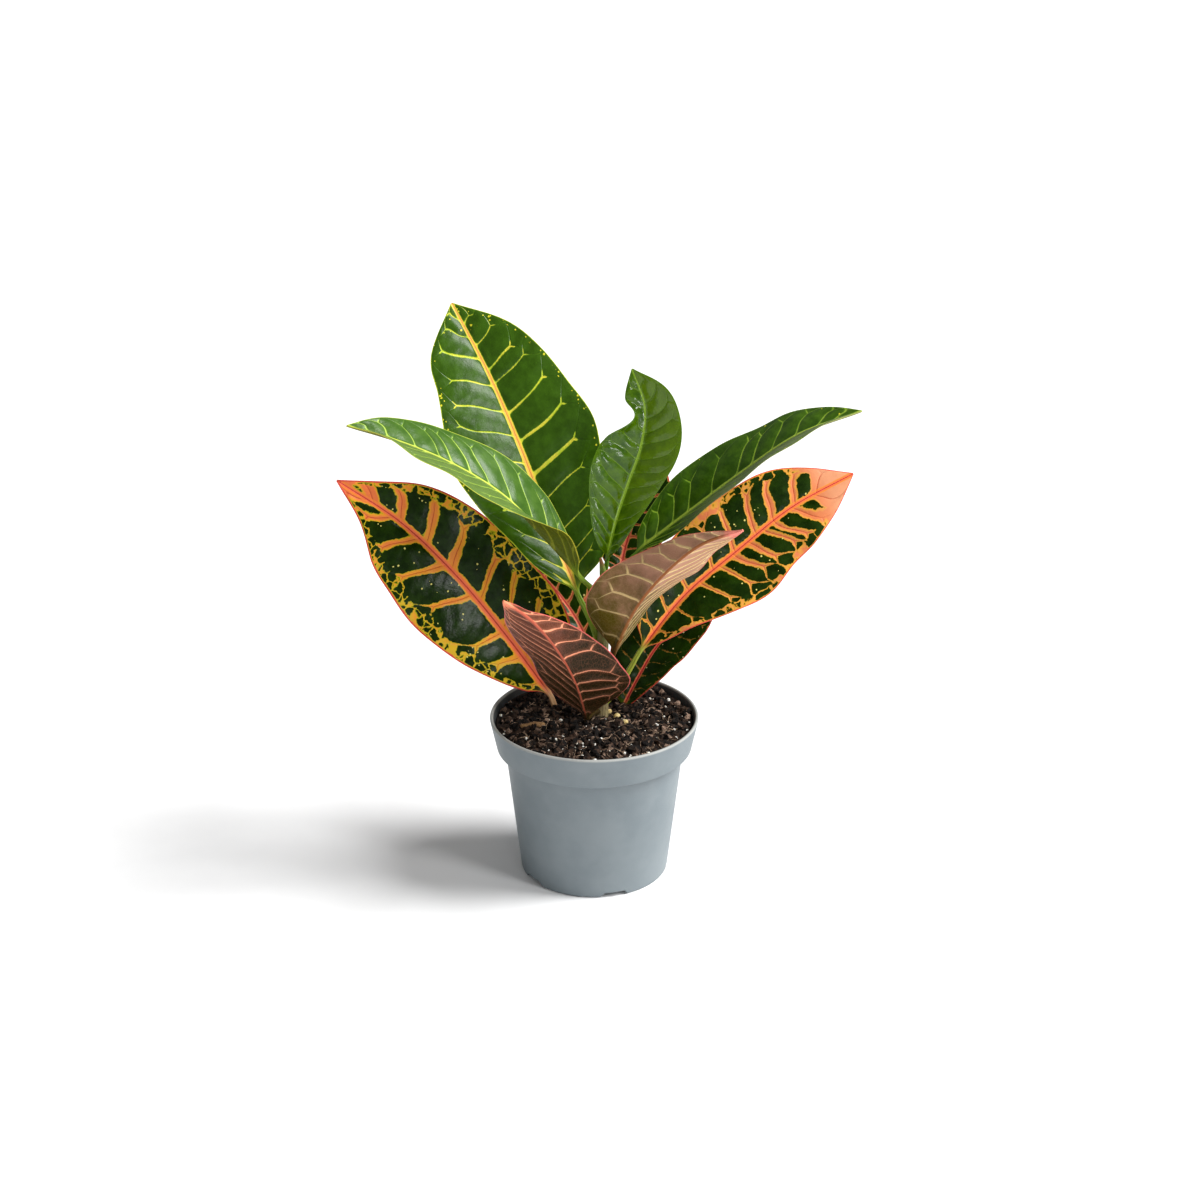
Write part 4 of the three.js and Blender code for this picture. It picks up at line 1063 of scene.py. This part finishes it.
def pot_profile():
    """The pot's section, from the middle of the underside round to the middle of the floor inside."""
    body, body_z = BODY_TOP_RADIUS, BODY_TOP_Z
    collar, collar_z = COLLAR_FOOT_RADIUS, COLLAR_FOOT_Z
    inner_foot = FOOT_RADIUS - WALL + (body - FOOT_RADIUS) * (FLOOR_Z / body_z)
    underside = [
        (0, 0), (PAD_RADIUS, 0), (PAD_RADIUS + 1.4, CHANNEL_Z), (FOOT_RING_INNER - 1, CHANNEL_Z),
        (FOOT_RING_INNER, 0), (FOOT_RADIUS - 0.6, 0), (FOOT_RADIUS, 0.8),
    ]
    outside = [
        (body - 0.15, body_z - 1.6), (body, body_z - 0.6), (body + 0.7, body_z + 0.2),
        (collar - 0.9, collar_z - 0.7), (collar - 0.15, collar_z - 0.3), (collar, collar_z + 0.3),
    ]
    rim = [
        (RIM_RADIUS - 0.15, POT_HEIGHT - 1), (RIM_RADIUS - 0.5, POT_HEIGHT - 0.2),
        (RIM_RADIUS - 1.1, POT_HEIGHT), (RIM_RADIUS - 1.8, POT_HEIGHT - 0.2),
        (RIM_RADIUS - 2.2, POT_HEIGHT - 1),
    ]
    inside = [
        (collar - WALL, COLLAR_INSIDE_Z), (body - WALL + 0.6, body_z + 2.6), (body - WALL, body_z + 0.4),
        (inner_foot, FLOOR_Z + 0.8), (inner_foot - 0.8, FLOOR_Z), (0, FLOOR_Z),
    ]
    return underside + outside + rim + inside


def rounded(points, radius, steps=4):
    """A profile with its inner corners rounded to radius."""
    done = [points[0]]
    for before, corner, after in zip(points, points[1:], points[2:]):
        a, b, c = (np.array(q, float) for q in (before, corner, after))
        reach = min(radius, 0.45 * np.linalg.norm(a - b), 0.45 * np.linalg.norm(c - b))
        start = b + unit(a - b) * reach
        end = b + unit(c - b) * reach
        for k in np.linspace(0, 1, steps):
            done.append(tuple((1 - k) ** 2 * start + 2 * k * (1 - k) * b + k * k * end))
    return done + [points[-1]]


def drain_body(angle):
    profile = [(0, -3), (DRAIN_RADIUS, -3), (DRAIN_RADIUS, 9), (0, 9)]
    middle = (DRAIN_CIRCLE * math.cos(angle), DRAIN_CIRCLE * math.sin(angle))
    return turned_body(profile, DRAIN_SEGMENTS, middle)


def notch_body(angle):
    """A block that cuts one notch through the foot ring."""
    wide, narrow = NOTCH_WIDTH / 2 + 0.6, NOTCH_TOP_WIDTH / 2
    side = [(-wide, -1), (wide, -1), (narrow, NOTCH_HEIGHT), (-narrow, NOTCH_HEIGHT)]
    cos, sin = math.cos(angle), math.sin(angle)
    points = []
    for r in (FOOT_RING_INNER - 3, FOOT_RADIUS + 4):
        points += [(r * cos - w * sin, r * sin + w * cos, z) for w, z in side]
    faces = [(3, 2, 1, 0), (4, 5, 6, 7)]
    faces += [((i + 1) % 4, (i + 1) % 4 + 4, i + 4, i) for i in range(4)]
    return points, faces


def cut(piece, tools):
    """Takes the tools out of the piece and removes them."""
    for tool in tools:
        modifier = piece.modifiers.new("cut", "BOOLEAN")
        modifier.operation = "DIFFERENCE"
        modifier.solver = "EXACT"
        modifier.object = tool
    bpy.context.view_layer.update()
    graph = bpy.context.evaluated_depsgraph_get()
    mesh = bpy.data.meshes.new_from_object(piece.evaluated_get(graph))
    piece.modifiers.clear()
    piece.data = mesh
    for tool in tools:
        bpy.data.objects.remove(tool)


def make_pot():
    body = turned_body(rounded(pot_profile(), POT_ROUND), POT_SEGMENTS)
    pot = new_mesh("pot_shell", body, [pot_paint()])
    first = math.radians(NOTCH_FIRST_DEG)
    tools = [drain_body(first + (i + 0.5) * 2 * math.pi / DRAIN_COUNT) for i in range(DRAIN_COUNT)]
    tools += [notch_body(first + angle) for angle in circle(NOTCH_COUNT)]
    cut(pot, [new_mesh("tool", tool) for tool in tools])
    pot.data.set_sharp_from_angle(angle=math.radians(SHARP_DEG))
    belongs(pot, "pot", "pot")


make_pot()


# ---------- stem ----------
STEM_ROWS = 150
STEM_SIDES = 40
SCAR_HEIGHTS = (100, 108, 117, 124, 132, 139, 147, 154, 161)
SCAR_ANGLES = (0.4, 2.6, 4.7, 1.2, 3.5, 5.6, 2.0, 4.2, 0.1)


def stem_paint():
    p = Paint("stem_bark")
    at = p.place()
    z = p.split(at)[2]
    bark = p.noise(p.place((1, 1, 0.25)), 0.8, 4, 0.6)
    patch = p.noise(at, 0.12, 2)
    colour = p.mix(p.smooth(bark, 0.35, 0.65), (96, 84, 56), (146, 132, 92))
    colour = p.mix(p.smooth(patch, 0.5, 0.62) * 0.4, colour, (108, 116, 64))
    colour = p.mix(p.smooth(z, 128, 170), colour, (116, 140, 60))
    colour = p.mix(p.smooth(z, 186, 191), colour, (124, 88, 52))
    return p.finish(colour, 0.62 + (bark - 0.5) * 0.3, 0.35, bark * 0.5, strength=0.8)


def stem_bumps(centre, radius, share):
    """Factors on the stem's radius: a swelling and a groove at each leaf scar, and slight ribs."""
    turn = circle(STEM_SIDES)
    bumps = np.ones((STEM_ROWS, STEM_SIDES))
    for z, angle in zip(SCAR_HEIGHTS, SCAR_ANGLES):
        away = (np.angle(np.exp(1j * (turn - angle))) * radius.mean() / 2.6)[None, :]
        up = ((centre[:, 2] - z) / 1.9)[:, None]
        bumps += 0.16 * np.exp(-(away ** 2 + up ** 2))
        bumps -= 0.12 * np.exp(-2.5 * (away ** 2 + (up - 0.8) ** 2))
    ribs = np.sin(5 * turn[None, :] + 0.9 * np.sin(0.21 * centre[:, 2:3]))
    return bumps + 0.03 * ribs * (1 - share[:, None])


def make_stem():
    share = np.linspace(0, 1, STEM_ROWS)
    centre = along([row[:3] for row in STEM], share)
    radius = along([row[3] for row in STEM], share)
    body = tube_body(centre, radius * 0.985, STEM_SIDES, stem_bumps(centre, radius, share))
    belongs(new_mesh("stem_bark", body, [stem_paint()]), "stem", "stem")


make_stem()


# ---------- soil ----------
SOIL_RINGS = 105
SOIL_SEGMENTS = 300
INNER_RING = 0.6 / 57.1  # the innermost ring, as a share of the outermost
SOIL_DROP = 0.3  # how far the soil's surface lies below soil_height
LUMPS_END = 53  # radius
WAVES = 60
WAVE_HEIGHT = 0.0275
CRUMBS = 1700
PERLITE = 150
STEM_CLEAR = (4, 5, 4.6)  # no lump lies here: x, y and radius
CHIP_AT = (-35, -10)
CHIP_LENGTH = 15.0
CHIP_BREADTH = 5.0
CHIP_FLAT = 0.55
CHIP_WAY = 0.35
CHIP_ROWS = 26
CHIP_SIDES = 18
ROOT = [(-23, 11, 92.0), (-25.5, 6, 93.9), (-27.7, 0, 93.9), (-29.5, -6, 93.6), (-33.5, -11, 92.6)]
ROOT_ROWS = 30
ROOT_SIDES = 12
FIBRES = 240


def soil_height(x, y):
    """The soil's mounded and lumpy surface, which is smooth near the wall."""
    r = np.hypot(x, y)
    fade = np.clip((LUMPS_END - r) / 12, 0, 1)
    lumps = (np.sin(0.23 * x + 1.1) * np.cos(0.19 * y - 0.4) + 0.6 * np.sin(0.47 * x - 0.39 * y)
             + 0.4 * np.cos(0.71 * y + 0.33 * x + 2))
    return SOIL_Z + SOIL_MOUND * fade * (1 - (r / 60) ** 2) + SOIL_ROUGH * fade * lumps


def wall_inside(z):
    """The radius of the pot's inside at height z, in its body or its collar."""
    if z < BODY_TOP_Z:
        return FOOT_RADIUS - WALL - 0.35 + (BODY_TOP_RADIUS - FOOT_RADIUS) * z / BODY_TOP_Z
    slope = (RIM_RADIUS - 2.2 - COLLAR_FOOT_RADIUS + WALL) / (POT_HEIGHT - 1 - COLLAR_INSIDE_Z)
    return COLLAR_FOOT_RADIUS - WALL + slope * (z - COLLAR_INSIDE_Z)


SOIL_EDGE = wall_inside(SOIL_Z - 2) - 0.6


def peat_paint():
    p = Paint("peat")
    at = p.place()
    clump = p.noise(at, 0.25, 4, 0.65)
    crumb = p.noise(at, 1.1, 4, 0.7)
    colour = p.mix(p.smooth(clump, 0.35, 0.65), (16, 11, 7), (42, 30, 22))
    colour = p.mix(p.smooth(crumb, 0.55, 0.72), colour, (86, 68, 56))
    colour = p.mix(1.0 - p.smooth(crumb, 0.3, 0.45), colour, (13, 8, 5))
    return p.finish(colour, 0.95, 0.2, crumb, height_mm=0.9)


def crumb_paint():
    p = Paint("peat_crumbs")
    at = p.place()
    tone = p.cells(at, 0.35)[1][0]
    crumb = p.noise(at, 1.8, 3, 0.7)
    colour = p.mix(p.smooth(tone, 0.4, 0.75), (14, 9, 6), (66, 48, 36))
    colour = p.mix(p.smooth(tone, 0.84, 0.97), colour, (150, 124, 106))
    colour = p.mix(1.0 - p.smooth(crumb, 0.32, 0.52), colour, (18, 11, 7))
    return p.finish(colour, 0.92, 0.25, crumb, height_mm=0.7)


def grain_paint(name, colours, stain, pits, rough, height_mm):
    """Grains: colours are clean, stained and in the pits. stain: scale, low and high. pits: scale."""
    p = Paint(name)
    at = p.place()
    clean, stained, pitted = colours
    scale, low, high = stain
    hole = p.noise(at, pits, 3, 0.6)
    colour = p.mix(p.smooth(p.noise(at, scale, 2), low, high), clean, stained)
    colour = p.mix(1.0 - p.smooth(hole, 0.3, 0.45), colour, pitted)
    return p.finish(colour, rough, 0.3, hole, height_mm)


def fibre_paint(name, dark, light, noise, rough, gloss, height_mm, stretch=(1, 1, 1)):
    p = Paint(name)
    grain = p.noise(p.place(stretch), *noise, 0.6)
    return p.finish(p.mix(p.smooth(grain, 0.35, 0.65), dark, light), rough, gloss, grain, height_mm)


def soil_surface(random):
    """Rings of points from the middle out, with small waves in random directions."""
    radii = SOIL_EDGE * np.linspace(INNER_RING, 1, SOIL_RINGS)
    r, a = np.meshgrid(radii, circle(SOIL_SEGMENTS), indexing="ij")
    x, y = r * np.cos(a), r * np.sin(a)
    z = soil_height(x, y) - SOIL_DROP
    fade = np.clip((SOIL_EDGE - r) / 3, 0, 1)
    for _ in range(WAVES):
        wave_length = random.uniform(1.6, 7)
        way = random.uniform(0, 2 * math.pi)
        run = x * math.cos(way) + y * math.sin(way)
        turn = 2 * math.pi / wave_length * run + random.uniform(0, 6.3)
        z += fade * WAVE_HEIGHT * wave_length ** 0.8 * np.sin(turn)
    return np.stack([x, y, z], -1)


def soil_body(random):
    """The peat, with a side that follows the pot's inside down to its floor."""
    side = [
        (wall_inside(SOIL_Z - 2) - 0.5, SOIL_Z - 2.5),
        (COLLAR_FOOT_RADIUS - WALL - 0.8, COLLAR_INSIDE_Z + 0.4),
        (BODY_TOP_RADIUS - WALL - 0.5, BODY_TOP_Z + 2.8),
        (wall_inside(BODY_TOP_Z - 1) - 0.5, BODY_TOP_Z - 1),
        (wall_inside(FLOOR_Z + 1.5) - 0.7, FLOOR_Z + 1.7),
        (wall_inside(FLOOR_Z) - 1.7, FLOOR_Z + 0.35),
    ]
    rings = np.concatenate([soil_surface(random), turned_rings(side, SOIL_SEGMENTS)])
    middle = (0, 0, soil_height(0, 0) - SOIL_DROP)
    points, faces = closed_body(rings, middle, (0, 0, side[-1][1]))
    return points, [face[:1] + face[:0:-1] for face in faces]


def random_place(random, reach):
    """A place on the soil, no further than reach from the middle."""
    radius = reach * math.sqrt(random.random())
    angle = 2 * math.pi * random.random()
    return radius * math.cos(angle), radius * math.sin(angle)


def to_the_front(x, y):
    """The chance of a perlite grain: most of them lie in front."""
    return 0.25 + 0.75 / (1 + math.exp((y + 4 - 0.25 * x) / 9))


def spots(random, count, smallest, largest, lift, chance=None):
    """Places for lumps, clear of the stem: x, y, z and size. Small ones are the most common."""
    stem_x, stem_y, stem_radius = STEM_CLEAR
    done = []
    while len(done) < count:
        x, y = random_place(random, SOIL_EDGE - 1.5)
        if chance is not None and random.random() > chance(x, y):
            continue
        size = smallest + (largest - smallest) * random.random() ** 2.2
        in_stem = math.hypot(x - stem_x, y - stem_y) < stem_radius + size
        if in_stem or math.hypot(x, y) + size > SOIL_EDGE + 0.2:
            continue
        done.append((x, y, soil_height(x, y) - SOIL_DROP + lift * size, size))
    return done


def ball():
    """A ball of 42 points."""
    shape = bmesh.new()
    bmesh.ops.create_icosphere(shape, subdivisions=2, radius=1)
    points = np.array([v.co[:] for v in shape.verts])
    faces = [[v.index for v in f.verts] for f in shape.faces]
    shape.free()
    return points, faces


def scatter_lumps(random, name, places, material, stretch, rough, smooth_faces=True):
    """Balls that are stretched, pushed in and out, and turned, all at random."""
    points, faces = ball()
    lumps = []
    for x, y, z, size in places:
        scale = size * random.uniform(*stretch, 3)
        lump = points * (1 + random.uniform(-rough, rough, (len(points), 1))) * scale
        axis = unit(random.normal(size=3))
        angle = random.uniform(0, 2 * math.pi)
        k = np.array([[0, -axis[2], axis[1]], [axis[2], 0, -axis[0]], [-axis[1], axis[0], 0]])
        spin = np.eye(3) + math.sin(angle) * k + (1 - math.cos(angle)) * k @ k
        lumps.append((lump @ spin.T + (x, y, z), faces))
    belongs(new_mesh(name, merged(lumps), [material], smooth_faces=smooth_faces), "peat")


def chip_body(random):
    share = np.linspace(-1, 1, CHIP_ROWS)
    x, y = CHIP_AT
    reach = share * CHIP_LENGTH / 2
    path = np.stack([x + reach * math.cos(CHIP_WAY), y + reach * math.sin(CHIP_WAY),
                     soil_height(x, y) + 0.5 - share * 0.8], -1)
    radii = CHIP_BREADTH / 2 * np.sqrt(np.clip(1 - np.abs(share) ** 5, 0.04, 1))
    radii *= 1 + 0.12 * np.sin(5 * share + 1)
    bumps = 1 + random.uniform(-0.16, 0.16, (CHIP_ROWS, CHIP_SIDES))
    points, faces = tube_body(path, radii, CHIP_SIDES, bumps)
    start_z = path[0][2]
    points[:, 2] = start_z + (points[:, 2] - start_z) * CHIP_FLAT
    return points, faces


def root_body(random):
    radii = 0.62 - 0.25 * np.linspace(0, 1, ROOT_ROWS)
    bumps = 1 + random.uniform(-0.08, 0.08, (ROOT_ROWS, ROOT_SIDES))
    return tube_body(smooth_path(ROOT, ROOT_ROWS), radii, ROOT_SIDES, bumps)


def fibre_bodies(random):
    """Thin bent fibres that lie on the soil or stand up in an arch."""
    done = []
    steps = np.linspace(-0.5, 0.5, 9)
    for _ in range(FIBRES):
        x, y = random_place(random, SOIL_EDGE - 6)
        way = random.uniform(0, 2 * math.pi)
        run = random.uniform(3, 11) * steps
        side = random.uniform(-0.9, 0.9) * run * steps
        x = x + run * math.cos(way) - side * math.sin(way)
        y = y + run * math.sin(way) + side * math.cos(way)
        arch = random.uniform(-0.1, 0.9) * (1 - (2 * steps) ** 2) * 1.3
        if np.hypot(x, y).max() > SOIL_EDGE - 1:
            continue
        path = np.stack([x, y, soil_height(x, y) + 0.25 + arch], -1)
        done.append(tube_body(path, np.full(len(steps), random.uniform(0.1, 0.26)), 6))
    return done


def make_soil():
    random = np.random.default_rng(7)
    belongs(new_mesh("soil_body", soil_body(random), [peat_paint()]), "peat", "soil")

    crumbs = spots(random, CRUMBS, 0.45, 2.7, 0.2)
    scatter_lumps(random, "soil_crumbs", crumbs, crumb_paint(), (0.4, 1.5), 0.3, smooth_faces=False)
    perlite = grain_paint("perlite", ((244, 243, 236), (216, 204, 172), (176, 164, 140)),
                          (0.5, 0.45, 0.75), 2.4, 0.85, 0.5)
    bits = spots(random, PERLITE, 0.4, 1.25, 0.5, to_the_front)
    scatter_lumps(random, "soil_perlite", bits, perlite, (0.7, 1.25), 0.16)
    large_grain = grain_paint("large_grain", ((226, 206, 150), (196, 168, 104), (150, 122, 78)),
                              (0.35, 0.4, 0.65), 1.6, 0.8, 0.6)
    grains = [(x, y, soil_height(x, y) + 0.45 * size, size) for x, y, size in BIG_GRAINS]
    scatter_lumps(random, "soil_grains", grains, large_grain, (0.85, 1.1), 0.12)

    bark = fibre_paint("bark_chip", (104, 74, 46), (168, 130, 88), (0.8, 4), 0.85, 0.3, 1.0,
                       (0.3, 1.6, 1.6))
    belongs(new_mesh("soil_bark_chip", chip_body(random), [bark]), "peat")
    fibre = fibre_paint("peat_fibre", (70, 52, 40), (172, 148, 124), (0.4, 3), 0.9, 0.2, 0.3)
    belongs(new_mesh("soil_root", root_body(random), [fibre]), "peat")
    belongs(new_mesh("soil_fibres", merged(fibre_bodies(random)), [fibre]), "peat")


make_soil()


# ---------- stage, light and camera ----------
FLOOR_HALF = 6000
FLOOR_DROP = 0.2  # below the pot's foot
WORLD_LIGHT = 0.28
KEY_LIGHT = 4.9
KEY_HEIGHT_DEG = 47
KEY_SOFTNESS_DEG = 32
PLANT_MIDDLE_Z = 200
SOFTBOX_DISTANCE = 1500
CAMERA_AT = (3.3, -1290.6, 709.5)
CAMERA_TILT_DEG = 67.2
CAMERA_LENS = 74.7


def add_object(name, data):
    made = bpy.data.objects.new(name, data)
    bpy.context.scene.collection.objects.link(made)
    return made


def make_floor():
    p = Paint("floor_paper")
    paper = p.noise(p.place(), 0.05, 2)
    tones = {0: paper, 6: (0.9, 0.9, 0.9, 1), 7: (0.93, 0.93, 0.93, 1)}
    colour = p.out(p.node("ShaderNodeMix", tones, data_type="RGBA"), 2)
    k = FLOOR_HALF
    corners = [(-k, -k, 0), (k, -k, 0), (k, k, 0), (-k, k, 0)]
    floor = new_mesh("floor", (corners, [(0, 1, 2, 3)]), [p.finish(colour, 0.9, 0.1)])
    floor.location.z = -FLOOR_DROP * MM


def make_world():
    world = bpy.data.worlds.new("studio")
    bpy.context.scene.world = world
    world.use_nodes = True
    background = world.node_tree.nodes["Background"]
    background.inputs["Color"].default_value = (1, 1, 1, 1)
    background.inputs["Strength"].default_value = WORLD_LIGHT


def make_key():
    """A soft sun from the right."""
    light = bpy.data.lights.new("key", "SUN")
    light.energy = KEY_LIGHT
    light.angle = math.radians(KEY_SOFTNESS_DEG)
    height = math.radians(KEY_HEIGHT_DEG)
    way = Vector((math.cos(height), 0, math.sin(height)))
    add_object("key", light).rotation_euler = way.to_track_quat("Z", "Y").to_euler()


def softbox(name, direction, side, radiance):
    """A square lamp that looks at the middle of the plant."""
    light = bpy.data.lights.new(name, "AREA")
    light.shape = "SQUARE"
    light.size = side * MM
    light.energy = radiance * math.pi * (side * MM) ** 2
    made = add_object(name, light)
    way = Vector(direction).normalized()
    made.location = Vector((0, 0, PLANT_MIDDLE_Z * MM)) + way * (SOFTBOX_DISTANCE * MM)
    made.rotation_euler = way.to_track_quat("Z", "Y").to_euler()


def make_camera():
    data = bpy.data.cameras.new("camera")
    data.lens = CAMERA_LENS
    data.sensor_width = 36
    data.clip_end = 50
    camera = add_object("camera", data)
    camera.location = [k * MM for k in CAMERA_AT]
    camera.rotation_euler = (math.radians(CAMERA_TILT_DEG), 0, 0)
    bpy.context.scene.camera = camera


make_floor()
make_world()
make_key()
softbox("sheen", (0.66, -0.55, 0.49), 300, 26.0)
softbox("glint", (0.3, -0.95, -0.02), 150, 32.0)
make_camera()
bpy.context.scene.view_settings.view_transform = "Standard"
